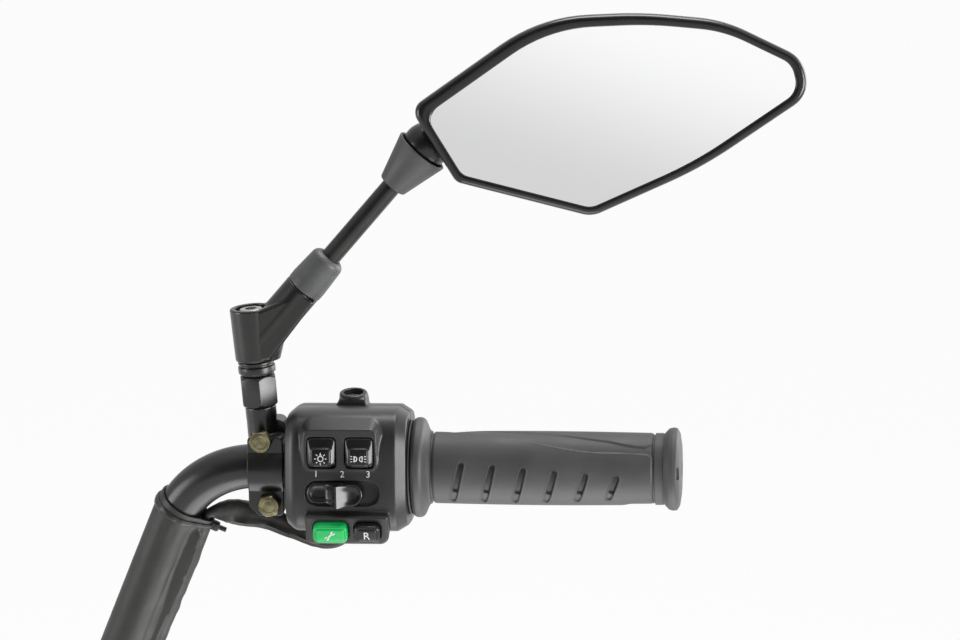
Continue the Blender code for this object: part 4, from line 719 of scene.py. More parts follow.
def makeClamp():
    front = clampHalf("clamp_front_half", -1, clamp["shoulder"], 0.002)
    rear = clampHalf("clamp_rear_half", 1, clamp["rearTop"], 0.0045)
    lean = barFrame.inverted() @ neckFrame
    middle = (neck["foot"] + neck["top"]) / 2
    addTo(front, rodPiece("neck_root", lean, neck["base"], middle, neck["radius"], 64, -0.0001))
    bore = bar["radius"] + gap
    for half, side in ((front, -1), (rear, 1)):
        carve(half, roundBar("clamp_bore", bore, -0.1, -0.05))
        halfOf(half, side, clamp["split"])
    addTo(front, rodPiece("neck_post", lean, neck["foot"], neck["top"], neck["radius"], 64))
    for half in (front, rear):
        castForm(half, clamp["voxel"], 7)
    dress(putAt(front, barFrame), "black_paint", "clamp_front", angle=60)
    dress(putAt(rear, barFrame), "black_paint", "clamp_rear", angle=60)


def hexPiece(name, flats, low, high, chamfer, bothEnds=False, turn=0.0):  # hexagon with turned-down corners
    clearSelection()
    radius = flats / 2 / cos(pi / 6)
    place = {"location": (0, 0, (low + high) / 2), "rotation": (0, 0, turn + pi / 6)}
    bpy.ops.mesh.primitive_cylinder_add(vertices=6, radius=radius, depth=high - low, **place)
    piece = putAt(named(name), Matrix())
    bottom = [(low, 0), (low, flats / 2 * 0.97), (low + chamfer, radius * 1.01)]
    if not bothEnds:
        bottom = [(low - 0.0002, 0), (low - 0.0002, radius * 1.1)]
    top = [(high - chamfer, radius * 1.01), (high, flats / 2 * 0.94), (high, 0)]
    shell = turnPiece("hex_turning", Matrix(), bottom + top, 72)
    carve(piece, shell, operation="INTERSECT")
    return roundEdges(piece, 0.00022, 2, 25)


def makeBolts():
    top, length, radius = bolt["height"], bolt["length"], bolt["radius"]
    head = hexPiece("upper_bolt", bolt["flats"], 0.0, top, 0.0020)
    dish = [(top - 0.0002, 0), (top - 0.0002, 0.0036), (top + 0.0001, 0.0034), (top - 0.00005, 0.0027),
            (top - 0.00005, 0)]
    shank = [(-length, 0), (-length, radius * 0.8), (0.0006 - length, radius), (0.001, radius), (0.001, 0)]
    joinTo(head, turnPiece("bolt_face", Matrix(), dish, 48), turnPiece("bolt_shank", Matrix(), shank, 32))
    turn = turnAbout(90, "X")
    places = []
    for side in (-1, 1):
        x = clamp["centre"] + side * clamp["stagger"]
        places.append(barFrame @ shift(x, -clamp["ear"] - gap, -side * clamp["spacing"]) @ turn)
    lower = copyOf(head, "lower_bolt", places[1] @ turnAbout(14, "Z"))
    putAt(head, places[0] @ turnAbout(4, "Z"))
    dress(head, "zinc_gold", "clamp_bolt_upper", angle=25)
    dress(lower, "zinc_gold", "clamp_bolt_lower", angle=25)


makeClamp()
makeBolts()

# Lock nut, collar, elbow block and bolt stacked on the neck
stack = {"nutLow": 0.0318, "nutHigh": 0.0476, "nutFlats": 0.0172, "nutTurn": radians(11), "collarLow": 0.0479,
         "collarHigh": 0.0547, "collarRadius": 0.0093, "base": 0.0550, "top": 0.0818, "blockLow": 0.0101,
         "blockTop": 0.0106, "recess": 0.0034, "recessRadius": 0.0078, "bore": 0.0043, "voxel": 0.00034}
arm = {"radius": 0.0095, "length": 0.0388, "flatOffset": 0.0086, "flatFacing": (0.9, -0.43, 0)}
web = {"foot": 0.0084, "low": 0.0010, "armEnd": ((0.0329, 0.0834), (0.0271, 0.0892)), "under": 0.0020,
       "face": 0.0093, "edge": 0.0084, "chamfer": 0.0014}
heel = {"x": 0.0042, "turn": 16, "profile": ((0.0004, 0), (0.0004, 0.0070), (0.0016, 0.0078), (0.011, 0.0082),
                                             (0.013, 0))}
swivelBolt = {"radius": 0.00575, "height": 0.0026, "shank": 0.004, "socket": 0.0032}


def makeNut():
    nut = hexPiece("lock_nut", stack["nutFlats"], stack["nutLow"], stack["nutHigh"], 0.0018, True,
                   stack["nutTurn"] + pi / 6)
    dress(putAt(nut, neckFrame), "black_paint", "post_lock_nut", angle=25)


def makeCollar():
    low, high, radius, bore = stack["collarLow"], stack["collarHigh"], stack["collarRadius"], stack["bore"]
    soft = 0.0005
    corners = [(low, bore), (low, radius - 0.0008, soft), (low + 0.0008, radius - 0.0008, 0.0002),
               (low + 0.0008, radius, soft), (high - 0.0024, radius, soft),
               (high - 0.0024, radius - 0.0012, 0.0003), (high - 0.0014, radius - 0.0012, 0.0003),
               (high - 0.0014, radius - 0.0002, 0.0004), (high, radius - 0.0002, 0.0004), (high, bore)]
    dress(ringPiece("collar", neckFrame, corners, 4, 72), "black_paint", "swivel_collar")


def elbowArm():  # round, with one flat side
    reach, radius = arm["length"], arm["radius"]
    tube = turnPiece("elbow_arm", Matrix(), [(0, 0), (0, radius), (reach - 0.0005, radius),
                                             (reach, radius - 0.0005), (reach, 0)], 96)
    pick(tube)
    bpy.ops.object.mode_set(mode="EDIT")
    bpy.ops.mesh.select_all(action="SELECT")
    flat = {"plane_co": (arm["flatOffset"], 0, 0), "plane_no": arm["flatFacing"]}
    bpy.ops.mesh.bisect(use_fill=True, clear_outer=True, **flat)
    bpy.ops.object.mode_set(mode="OBJECT")
    return putAt(closeUp(tube), neckFrame.inverted() @ armFrame)


def elbowWeb():  # plate that fills the corner between block and arm
    base, top = stack["base"], stack["top"]
    corners = [(0.0, base + 0.0012), (web["foot"], base + web["low"], 0.001), *web["armEnd"],
               (0.0, top - web["under"])]
    levels = ((-web["face"], -web["chamfer"]), (-web["edge"], 0.0), (web["edge"], 0.0),
              (web["face"], -web["chamfer"]))
    return stackPiece("elbow_web", Matrix(), softLine(corners, 3, closed=True), levels)


def makeBlock():
    base, top, low, high = stack["base"], stack["top"], stack["blockLow"], stack["blockTop"]
    corners = [(base, 0), (base, low, 0.0012), (top, high, 0.0007), (top, 0)]
    block = turnPiece("elbow_block", Matrix(), softLine(corners, 4), 96)
    lean = shift(heel["x"], 0, base) @ turnAbout(heel["turn"], "Y")
    addTo(block, elbowArm(), turnPiece("elbow_heel", lean, heel["profile"], 64), elbowWeb())
    below = boxPiece("under_block", Matrix(), (-0.03, -0.03, base - 0.03), (0.03, 0.03, base))
    floor, radius = top - stack["recess"], stack["recessRadius"]
    recess = rodPiece("block_recess", Matrix(), floor, top + 0.004, radius, 72, 0.0002)
    carve(block, below, recess, rodPiece("block_bore", Matrix(), base - 0.002, top, stack["bore"], 48))
    castForm(block, stack["voxel"], 3)
    dress(putAt(block, neckFrame), "black_paint", "swivel_block", angle=60)


def makeSwivelBolt():
    seat = stack["top"] - stack["recess"] + gap
    head, height, shank = swivelBolt["radius"], swivelBolt["height"], swivelBolt["shank"]
    corners = [(neck["foot"] + gap, 0), (neck["foot"] + gap, shank), (seat, shank), (seat, head, 0.0002),
               (seat + height, head, 0.0007), (seat + height, 0)]
    piece = turnPiece("swivel_screw", Matrix(), softLine(corners, 4), 64)
    flats = swivelBolt["socket"] * 2 * cos(pi / 6)
    carve(piece, hexPiece("screw_socket", flats, seat + height / 3, seat + height * 1.3, 0.0001))
    dress(putAt(piece, neckFrame), "steel", "swivel_bolt")


makeNut()
makeCollar()
makeBlock()
makeSwivelBolt()

# Mirror stem: rod with its ball, boot and cone
stem = {"rod": 0.0049, "start": 0.0228, "ballHeight": 0.134, "ball": 0.0070, "waist": 0.0037,
        "waistLow": 0.0130, "waistHigh": 0.0095}
boot = {"low": 0.0391, "high": 0.0600, "lowRadius": 0.0096, "topRadius": 0.0086, "room": 0.0073,
        "ceiling": 0.0477}
cone = {"low": 0.1079, "high": 0.1310, "small": 0.0073, "large": 0.0137, "wall": 0.0013}


def makeStem():
    rod, height, waist = stem["rod"], stem["ballHeight"], stem["waist"]  # the waist lets the head turn
    profile = [(stem["start"], 0), (stem["start"], rod - 0.0006), (stem["start"] + 0.0006, rod)]
    profile += [(height - stem["waistLow"], rod), (height - stem["waistHigh"], waist)]
    first = -acos(waist / stem["ball"])
    for k in range(17):
        angle = first + (pi / 2 - first) * k / 16
        profile.append((height + stem["ball"] * sin(angle), stem["ball"] * cos(angle)))
    dress(turnPiece("stem_rod", armFrame, profile, 64), "black_paint", "mirror_stem")


def makeBoot():
    low, high, top, rod = boot["low"], boot["high"], boot["topRadius"], stem["rod"] + gap
    corners = [(low, boot["room"]), (low, boot["lowRadius"] - 0.0001, 0.0005),
               (low + 0.004, boot["lowRadius"], 0.002), (high, top, 0.0036), (high, rod + 0.0006, 0.0005),
               (high - 0.0012, rod), (boot["ceiling"], rod), (boot["ceiling"], boot["room"])]
    dress(ringPiece("boot", armFrame, corners, 7, 72), "grey_rubber", "stem_boot")


def makeCone():
    low, high, small, large, wall = cone["low"], cone["high"], cone["small"], cone["large"], cone["wall"]
    rod = stem["rod"] + gap
    corners = [(low, rod), (low, small, 0.0009), (high - 0.0012, large - 0.0003, 0.0008),
               (high, large, 0.0004), (high, large - wall, 0.0004), (low + wall * 3, rod + 0.001),
               (low + wall * 3, rod)]
    dress(ringPiece("cone", armFrame, corners, 5, 96), "rubber", "stem_cone")


makeStem()
makeBoot()
makeCone()
print("stage: clamp, elbow and stem")

# Mirror head: corners of its outline with a radius each, and the rim's width along each side
mirrorCorners = ((-0.0076, 0.0196, 0.0068), (0.0563, 0.0629, 0.080), (0.1052, 0.0641, 0.200),
                 (0.1456, 0.0596, 0.070), (0.1836, 0.0405, 0.016), (0.1876, 0.0225, 0.014),
                 (0.1340, -0.0122, 0.200), (0.0800, -0.0350, 0.014), (0.0139, -0.0166, 0.0066))
rimWidths = (0.0068, 0.0058, 0.0053, 0.0049, 0.0056, 0.0046, 0.0043, 0.0042, 0.0044)
mirror = {"front": -0.018, "bezel": 0.0055, "sink": 0.0012, "lap": 0.0012, "glass": 0.002, "ball": 6.4,
          "middle": (0.090, 0, 0.017), "crown": 0.00016, "rings": 20, "depth": 0.021, "wall": 0.0022,
          "arcSteps": 9, "sideSteps": 5}
socket = {"cavity": 0.0091, "wall": 0.0026, "opening": radians(47)}
bowl = ((0.0, 1.0), (0.05, 0.998), (0.16, 0.982), (0.29, 0.945), (0.42, 0.895), (0.56, 0.825), (0.68, 0.745),
        (0.79, 0.652), (0.88, 0.55), (0.95, 0.44), (0.99, 0.33), (1.01, 0.2), (1.02, 0.0))


def insetCorners(corners, widths):  # each side moved in by its own width
    sides = []
    for k, corner in enumerate(corners):
        a = Vector(corner[:2])
        along = (Vector(corners[(k + 1) % len(corners)][:2]) - a).normalized()
        sides.append((a + Vector((along.y, -along.x)) * widths[k], along))
    moved = []
    for k, corner in enumerate(corners):
        (a, along), (b, toward) = sides[k - 1], sides[k]
        place = a + along * (b - a).cross(toward) / along.cross(toward)
        soft, width = corner[2], widths[k]
        radius = soft + width * 0.2 if soft < 0.01 else max(soft - width, soft * 0.5)  # small corners widen
        moved.append((place.x, place.y, radius))
    return moved


def mirrorOutline(inset):  # inset is one width, or a share of the rim as ("rim", share, extra)
    if isinstance(inset, tuple):
        widths = [width * inset[1] + inset[2] for width in rimWidths]
    else:
        widths = [inset] * len(rimWidths)
    arcs = softLine(insetCorners(mirrorCorners, widths), mirror["arcSteps"], closed=True)
    outline = []
    span, steps = mirror["arcSteps"] + 1, mirror["sideSteps"]
    for k, point in enumerate(arcs):
        outline.append(Vector(point))
        if k % span == span - 1:
            ahead = Vector(arcs[(k + 1) % len(arcs)])
            outline += [Vector(point).lerp(ahead, n / steps) for n in range(1, steps)]
    return outline


def outlineLoft(name, rows):  # rows (inset, depth, scale about the middle)
    outlines = {inset: mirrorOutline(inset) for inset, depth, scale in rows}
    middle = sum(outlines[rows[0][0]], Vector((0, 0))) / len(outlines[rows[0][0]])

    def shape(side, row):
        inset, depth, scale = row
        point = middle + (outlines[inset][side] - middle) * scale
        return Vector((point.x, depth, point.y))

    return wrapRows(name, Matrix(), len(outlines[rows[0][0]]), rows, shape)


# Bezel section: (inset, drop) round its outer edge, (share of the rim, drop) over its face
bezelEdge = ((0.0, 0.0030), (0.0002, 0.0020), (0.0006, 0.0011), (0.0012, 0.0004), (0.0019, 0.0001))
bezelFace = ((0.5, 0.0), (0.8, 0.0001), (0.93, 0.0003), (0.985, 0.0007), (1.0, 0.0011), (1.0, mirror["sink"]))


def makeBezel():
    front, back = mirror["front"], mirror["front"] + mirror["bezel"]
    under = ("rim", 1.0, -mirror["lap"] - gap)
    rows = [(0.0, back)] + [(inset, front + drop) for inset, drop in bezelEdge]
    rows += [(("rim", share, 0.0), front + drop) for share, drop in bezelFace]
    rows += [(under, front + mirror["sink"]), (under, back), (0.0, back)]
    bezel = outlineLoft("bezel", [(*row, 1.0) for row in rows])
    dress(putAt(bezel, headFrame), "gloss_plastic", "mirror_bezel")


def makeGlass():
    front = mirror["front"] + mirror["sink"] + gap
    back = front + mirror["glass"]
    inset = ("rim", 1.0, -mirror["lap"])
    rings = mirror["rings"]
    rows = [(inset, front, k / rings) for k in range(rings + 1)] + [(inset, back, 1.0), (inset, back, 0.0)]
    piece = outlineLoft("glass", rows)
    middle = Vector(mirror["middle"])
    for vertex in piece.data.vertices:  # slightly domed, as part of a large ball
        if vertex.co.y < (front + back) / 2:
            away = Vector((vertex.co.x, 0, vertex.co.z)) - middle
            vertex.co.y += away.length_squared / (2 * mirror["ball"]) - mirror["crown"]
    dress(putAt(piece, headFrame), "mirror", "mirror_glass", angle=40)


def makeShell():
    start = mirror["front"] + mirror["bezel"] + gap
    depth, wall = mirror["depth"], mirror["wall"]
    rows = [(0.0, start + depth * share, scale) for share, scale in bowl[::-1]]
    rows.append((("rim", 1.0, -mirror["lap"] - gap), start, 1.0))
    inner = 1.0 - wall / 0.030
    rows += [(0.0, start + max(depth * share - wall, 0.0012), scale * inner) for share, scale in bowl[3:]]
    shell = outlineLoft("shell", rows)
    outer, cavity = socket["cavity"] + socket["wall"], socket["cavity"]
    lean = headFrame.inverted() @ ballFrame

    def ball(name, radius):
        arc = [(radius * sin(radians(a)), radius * cos(radians(a))) for a in range(-90, 91, 6)]
        return turnPiece(name, lean, arc, 72)

    addTo(shell, ball("socket_ball", outer))
    reach = outer * 1.5
    mouth = [(-reach, 0), (-reach, reach * tan(socket["opening"])), (-0.001, 0.001), (-0.001, 0)]
    carve(shell, ball("socket_room", cavity), turnPiece("socket_entry", lean, mouth, 72))
    dress(putAt(shell, headFrame), "gloss_plastic", "mirror_shell", angle=40)


makeBezel()
makeGlass()
makeShell()
print("stage: mirror head")

# Switch case: a rounded square body in two halves, with hood, slider pocket and button pod
case = {"length": 0.0603, "height": 0.031, "depth": 0.028, "power": 2 / 3.6, "split": 0.0002, "wall": 0.003,
        "frontWall": 0.004, "sides": 144, "voxel": 0.00042, "keep": 0.45, "front": -0.0283, "rib": -0.0265,
        "ribWidth": 0.0028, "ribInset": 0.0015, "tubeWall": 0.0022, "tubeRoom": 0.0005}
hood = {"left": -0.0498, "right": -0.0143, "top": 0.0226, "bottom": 0.002, "grow": 0.0050, "lean": 0.0024,
        "side": 0.0031, "over": 0.0100, "corner": 0.0030, "fade": 0.006}
key = {"width": 0.0139, "height": 0.0148, "left": -0.04135, "right": -0.02265, "z": 0.0111, "pinY": -0.0263,
       "proud": 0.0061, "back": 0.0021, "clear": 0.0007, "above": 0.0003, "beside": 0.00025,
       "padWidth": 0.0094, "padHeight": 0.0086, "padRaise": 0.0010, "slope": 0.0010}
slider = {"left": -0.0497, "length": 0.0367, "height": 0.0122, "z": -0.0095, "depth": 0.0022, "travel": 0.007,
          "fin": 0.0086, "drop": 0.0016, "lean": 0.0002, "footLeft": -0.0056, "topLeft": 0.0010,
          "topRight": 0.0015, "footRight": 0.0140, "lobe": 0.36, "plate": 0.0027, "rows": 40, "stations": 120,
          "slotLeft": -0.0385, "slotRight": -0.0243, "slotHalf": 0.0031}
pod = {"width": 0.0414, "height": 0.0158, "depth": 0.0115, "wall": 0.0018, "corner": 0.0045, "upper": 0.0014,
       "left": 0.0034}
button = {"height": 0.0096, "radius": 0.003, "proud": 0.005, "repairX": -0.0079, "repairWidth": 0.0172,
          "reverseX": 0.0103, "reverseWidth": 0.0128}
screw = {"x": -0.038, "z": 0.0232, "radius": 0.0018, "head": 0.0032, "seat": 0.017, "boss": 0.0042}
lug = {"x": -0.0294, "width": 0.0168, "height": 0.0058, "depth": 0.012, "lean": 14, "hole": 0.0049,
       "boss": 0.0070, "screw": 0.0044, "screwTop": -0.0024, "screwEnd": -0.0072}
podPlace = caseFrame.inverted() @ podFrame


def caseBody(name, profile, height, depth):  # rounded-square rings at (x, inset)
    def shape(side, row):
        x, inset = row
        angle = 2 * pi * side / case["sides"]
        a = max(depth - inset, 0.0) * abs(cos(angle)) ** case["power"]
        b = max(height - inset, 0.0) * abs(sin(angle)) ** case["power"]
        return Vector((x, a if cos(angle) > 0 else -a, b if sin(angle) > 0 else -b))

    return wrapRows(name, Matrix(), case["sides"], profile, shape)


def caseOuter(name):
    length, middle = case["length"], case["height"]
    corners = [(-length, middle), (-length, 0.0034, 0.0012), (0.0042 - length, 0.0, 0.006),
               (-0.0053, 0.0, 0.0012), (0.0, 0.0032, 0.0006), (0.0, middle)]
    return caseBody(name, softLine(corners, 6), case["height"], case["depth"])


def caseInner():
    wall, length, middle = case["wall"], case["length"], case["height"]
    left, right = wall - length, -wall
    profile = [(left, middle), (left, 0.0), (right, 0.0), (right, middle)]
    return caseBody("case_room", profile, case["height"] - wall, case["depth"] - case["frontWall"])


def caseBore():  # close on the bar, then wide round the throttle tube
    narrow, left, right = bar["radius"] + gap, -case["length"] * 1.1, 0.003
    wide = narrow + case["tubeWall"] + case["tubeRoom"]
    step = case["ribWidth"] + case["rib"] + gap
    profile = [(left, 0), (left, narrow), (step, narrow), (step, wide), (right, wide), (right, 0)]
    return turnPiece("case_bore", turnAbout(90, "Y"), profile, 96)


def along(name, radius, near, far, x, z, sides=40):  # plain round along Y
    clearSelection()
    place = {"location": (x, (near + far) / 2, z), "rotation": (pi / 2, 0, 0)}
    bpy.ops.mesh.primitive_cylinder_add(vertices=sides, radius=radius, depth=far - near, **place)
    return putAt(named(name), Matrix())


def hoodForm():  # its face leans forward at the top; its sides fall back in facets
    width, height = hood["right"] - hood["left"], hood["top"] - hood["bottom"]
    x, z = (hood["right"] + hood["left"]) / 2, (hood["top"] + hood["bottom"]) / 2
    face = softBox(width, height, hood["corner"], 8, x, z)
    grow, low, top = hood["grow"], hood["bottom"], hood["top"]
    wide = softBox(width + grow * 2, height + grow * 2, hood["corner"] + grow, 8, x, z)
    rings = [[], [], []]
    for (a, b), (c, d) in zip(face, wide):
        front = case["front"] - hood["lean"] * min(max((b - low) / height, 0.0), 1.0)
        back = front + hood["side"] + (hood["over"] - hood["side"]) * smoothStep(b, top - hood["fade"], top)
        rings[0].append(Vector((a, front, b)))
        rings[1].append(Vector((c, back, max(d, low))))
        rings[2].append(Vector((c, back + 0.006, max(d, low))))
    return loftPiece("hood_form", Matrix(), rings)


def podForm():
    half, tall = pod["width"] / 2, pod["height"] / 2
    outline = softLine([(-half, -tall, pod["left"]), (half, -tall, pod["corner"]), (half, tall, pod["upper"]),
                        (-half, tall, pod["upper"])], 8, closed=True)
    levels = ((0.0, -0.0008), (0.0002, -0.0003), (0.0008, 0.0), (pod["depth"], 0.0))
    return stackPiece("pod_form", podPlace, outline, levels)


def podRoom():
    wall = pod["wall"]
    outline = softBox(pod["width"] - wall * 2, pod["height"] - wall * 2, pod["corner"] - wall, 4)
    return prismPiece("pod_room", podPlace, outline, wall, pod["depth"] + wall)


def buttonHole(x, width):
    outline = softBox(width + gap * 2, button["height"] + gap * 2, button["radius"] + gap, 6, x)
    return prismPiece("button_hole", podPlace, outline, -0.002, pod["wall"] * 1.5)


def keyHole(x):
    wide, tall = key["width"] + key["beside"] * 2, key["height"] + key["clear"] + key["above"]
    outline = softBox(wide, tall, 0.0022, 5, x, key["z"] + (key["above"] - key["clear"]) / 2)
    return prismPiece("key_hole", Matrix(), outline, case["front"] * 1.2, case["front"] + 0.006)


def sliderPocket():
    x = slider["left"] + slider["length"] / 2
    outline = softBox(slider["length"], slider["height"], slider["height"] * 0.47, 12, x, slider["z"])
    front = -case["depth"]
    return prismPiece("slider_pocket", Matrix(), outline, front - 0.004, slider["depth"] + front)


def sliderSlot():
    left, right, z, half = slider["slotLeft"], slider["slotRight"], slider["z"], slider["slotHalf"]
    return boxPiece("slider_slot", Matrix(), (left, -0.029, z - half), (right, -0.020, z + half))


def screwBosses(near, far):
    return [along("boss", screw["boss"], near, far, screw["x"], side * screw["z"]) for side in (-1, 1)]


def makeCaseFront():
    front = addTo(caseOuter("case_front_half"), hoodForm())
    carve(front, caseInner())
    addTo(front, podForm(), *screwBosses(-screw["seat"] - case["wall"], 0.002))
    carve(front, podRoom(), buttonHole(button["repairX"], button["repairWidth"]),
          buttonHole(button["reverseX"], button["reverseWidth"]), keyHole(key["left"]), keyHole(key["right"]),
          sliderPocket(), sliderSlot(), caseBore())
    halfOf(front, -1, case["split"])
    castForm(front, case["voxel"], 2, case["keep"])
    dress(putAt(front, caseFrame), "satin_plastic", "case_front", angle=60)


def lugForm():
    x, half, boss = lug["x"], lug["width"] / 2, lug["boss"]
    base, top = case["height"] - 0.0015, case["height"] + lug["height"] - 0.0014
    outline = softLine([(x - half - 0.0006, base), (x + half - 0.0006, base),
                        (x + boss - 0.0002, top, 0.0012), (x - boss + 0.0006, top, 0.0024)], 8, closed=True)
    near, far = case["split"] - 0.0006, case["split"] + lug["depth"]
    levels = ((near, -0.0012), (near + 0.0004, -0.0004), (near + 0.0012, 0.0), (far - 0.0012, 0.0),
              (far, -0.0010))
    form = stackPiece("lug_form", Matrix(), outline, levels)
    rise = tan(radians(lug["lean"]))
    for vertex in form.data.vertices:  # its top slopes up to the back
        if vertex.co.z > case["height"] + 0.001:
            vertex.co.z += (vertex.co.y - lug["depth"] / 2) * rise * 0.8
    rim = softLine([(-0.0052, 0), (-0.0052, boss + 0.0004), (0.0002, boss, 0.0009), (0.0002, 0)], 4)
    return castForm(joinTo(form, turnPiece("lug_boss", lugPlace(), rim, 56)), case["voxel"], 1)


def lugPlace():
    top = case["height"] + lug["height"]
    return shift(lug["x"], case["split"] + lug["depth"] / 2, top) @ turnAbout(lug["lean"], "X")


def makeCaseRear():
    rear = carve(caseOuter("case_rear_half"), caseInner())
    left, right = case["rib"], case["rib"] + case["ribWidth"]
    high, inset = case["height"], case["ribInset"]
    profile = [(left, high), (left, inset), (right, inset), (right, high)]
    rib = caseBody("bar_rib", profile, high, case["depth"])
    addTo(rear, rib, *screwBosses(-0.002, screw["seat"] + case["wall"]))
    halfOf(rear, 1, case["split"] + 0.0006)
    addTo(rear, lugForm())
    hole, end = lug["hole"], -0.0075
    well = turnPiece("lug_well", lugPlace(), [(end, 0), (end, hole * 0.5), (-hole, hole * 0.5), (-hole, hole),
                                              (0.006, hole), (0.006, 0)], 56)
    radius, near = screw["head"] + gap, screw["seat"] - gap
    seats = [along("screw_seat", radius, near, 0.034, screw["x"], side * screw["z"]) for side in (-1, 1)]
    glandHole = rodPiece("gland_hole", shift(gland["x"], gland["y"], 0), -0.036, -0.024, gland["hole"], 40)
    carve(rear, well, *seats, glandHole, caseBore())
    castForm(rear, case["voxel"], 2, case["keep"])
    dress(putAt(rear, caseFrame), "satin_plastic", "case_rear", angle=60)


def crossRecess(size, depth, top):
    low, high, thin = top - depth, top + 0.001, size * 0.24
    return (boxPiece("recess", Matrix(), (-size, -thin, low), (size, thin, high)),
            boxPiece("recess_across", Matrix(), (-thin, -size, low), (thin, size, high)))


def makeScrews():
    head, seat, radius = screw["head"], screw["seat"], screw["radius"]
    corners = [(-0.010, 0), (-0.010, 0.0012), (-0.009, radius), (seat, radius), (seat, head, 0.0003),
               (seat + head, head, 0.0014), (seat + head, 0)]
    upper = turnPiece("upper_case_screw", Matrix(), softLine(corners, 5), 48)
    carve(upper, *crossRecess(head * 0.62, 0.0014, seat + head))
    turn = turnAbout(-90, "X")
    below = caseFrame @ shift(screw["x"], 0, -screw["z"]) @ turn @ turnAbout(30, "Z")
    lower = copyOf(upper, "lower_case_screw", below)
    putAt(upper, caseFrame @ shift(screw["x"], 0, screw["z"]) @ turn)
    dress(upper, "steel", "case_screw_upper")
    dress(lower, "steel", "case_screw_lower")

    radius, top, end = lug["screw"], lug["screwTop"], lug["screwEnd"]
    corners = [(end, 0), (end, radius / 2), (-radius, radius / 2), (-radius, radius, 0.0002),
               (top, radius, 0.0005), (top, 0)]
    lugScrew = turnPiece("lug_set_screw", Matrix(), softLine(corners, 4), 56)
    carve(lugScrew, hexPiece("socket_cut", radius * 1.15, -0.0040, 0.002, 0.0001))
    dress(putAt(lugScrew, caseFrame @ lugPlace()), "steel", "lug_screw")


makeCaseFront()
makeCaseRear()
makeScrews()
print("stage: switch case")


# Rocker keys: (narrower, shorter, corner, level, slope) up the body, then (shrink, level) of the raised pad
keyBody = ((0.0008, 0.0008, 0.0016, key["back"], 0.0), (0.0, 0.0, 0.0020, key["back"] - 0.0004, 0.0),
           (0.0, 0.0002, 0.0020, -0.0026, key["slope"]), (0.0004, 0.0006, 0.0021, -0.0031, key["slope"]),
           (0.0011, 0.0014, 0.0022, -0.0034, key["slope"]))
keyPad = ((-0.0011, 0.0013), (-0.0006, 0.0012), (-0.0002, 0.0007), (0.0003, 0.0002), (0.0009, 0.0),
          (0.0018, -0.00005))


def makeKey(name, node, x):
    wide, tall = key["width"], key["height"]
    rings = []
    for narrower, shorter, corner, level, slope in keyBody:
        outline = softBox(wide - narrower, tall - shorter, corner)
        rings.append([Vector((a, level - slope * (b / tall + 0.5), b)) for a, b in outline])
    middle = (key["padHeight"] - tall) / 2 + key["padRaise"]
    for shrink, level in keyPad:
        outline = softBox(key["padWidth"] - shrink, key["padHeight"] - shrink, 0.0017, z=middle)
        rings.append([Vector((a, level - key["proud"], b)) for a, b in outline])
    piece = loftPiece(name, caseFrame @ shift(x, key["pinY"], key["z"]), rings)
    dress(piece, "gloss_plastic", node, angle=50)


makeKey("lamp_key", "light_key", key["left"])
makeKey("side_lamp_key", "position_key", key["right"])


# Speed slider: a plate with two round ends and a leaning fin
def sliderHeight(x):  # concave rise on the left, flat top, straight fall on the right
    if x < slider["topLeft"]:
        return max((x - slider["footLeft"]) / (slider["topLeft"] - slider["footLeft"]), 0.0) ** 1.9
    fall = (x - slider["topRight"]) / (slider["footRight"] - slider["topRight"])
    return slider["lobe"] + (1 - slider["lobe"]) * (1.0 - min(max(fall, 0.0), 1.0)) ** 2


def makeSlider():
    length = slider["length"] - slider["travel"] - gap * 2
    half, end = slider["height"] / 2 - gap, length / 2
    floor = slider["depth"] - gap
    plate, count = floor - slider["plate"], slider["rows"]
    stations = [length * k / slider["stations"] - end for k in range(slider["stations"] + 1)]

    def shape(side, x):
        past = max(abs(x) - (end - half), 0.0)
        tall = sqrt(max(half * half - past * past, 0.0))
        share = (side if side <= count else 2 * count + 1 - side) / count
        z = tall * cos(pi * (1 - share))
        if side > count:
            return Vector((x, floor, z))
        edge = half - sqrt(past * past + z * z)
        rim = 0.0011 * (1 - smoothStep(edge, 0.0, 0.0009)) - 0.0004 * smoothStep(edge, 0.0007, 0.0016)
        rim += 0.0010 * smoothStep(edge, 0.0012, 0.0040)
        lift = sliderHeight(x) * smoothStep(edge, -0.0003, 0.0008)
        down = slider["drop"] * lift * (0.35 + 0.65 * smoothStep(-z, -half, half))
        over = slider["lean"] * lift * (0.5 - z / half * 0.5)
        return Vector((x + over, plate + rim * (1 - lift) - lift * (slider["fin"] + plate), z - down))

    piece = wrapRows("slider_knob", Matrix(), 2 * count + 2, stations, shape)
    joinTo(piece, boxPiece("knob_stem", Matrix(), (-0.003, floor / 2, -0.0025), (0.003, 0.0046, 0.0025)))
    putAt(piece, caseFrame @ shift(slider["left"] + gap + end, -case["depth"], slider["z"]))
    dress(piece, "gloss_plastic", "speed_slider", angle=50)


makeSlider()


# Push buttons: (drop below the top, grow) over the dished face
buttonFace = ((0.0, -0.0022), (0.00005, -0.0018), (0.0003, -0.0015), (0.0006, -0.0014), (0.0007, -0.0012),
              (0.0006, -0.0009), (0.0007, -0.0005), (0.0011, -0.0002), (0.0016, 0.0))


def makeButton(name, look, node, x, width):
    outline = softBox(width, button["height"], button["radius"], 8, x)
    shelf = pod["wall"] + gap
    levels = [(drop - button["proud"], grow) for drop, grow in buttonFace]
    levels += [(shelf, 0.0), (shelf, 0.0008), (shelf + 0.0012, 0.0008)]
    dress(stackPiece(name, podFrame, outline, levels), look, node, angle=40)


makeButton("spanner_button", "green_plastic", "repair_button", button["repairX"], button["repairWidth"])
makeButton("back_up_button", "gloss_plastic", "reverse_button", button["reverseX"], button["reverseWidth"])


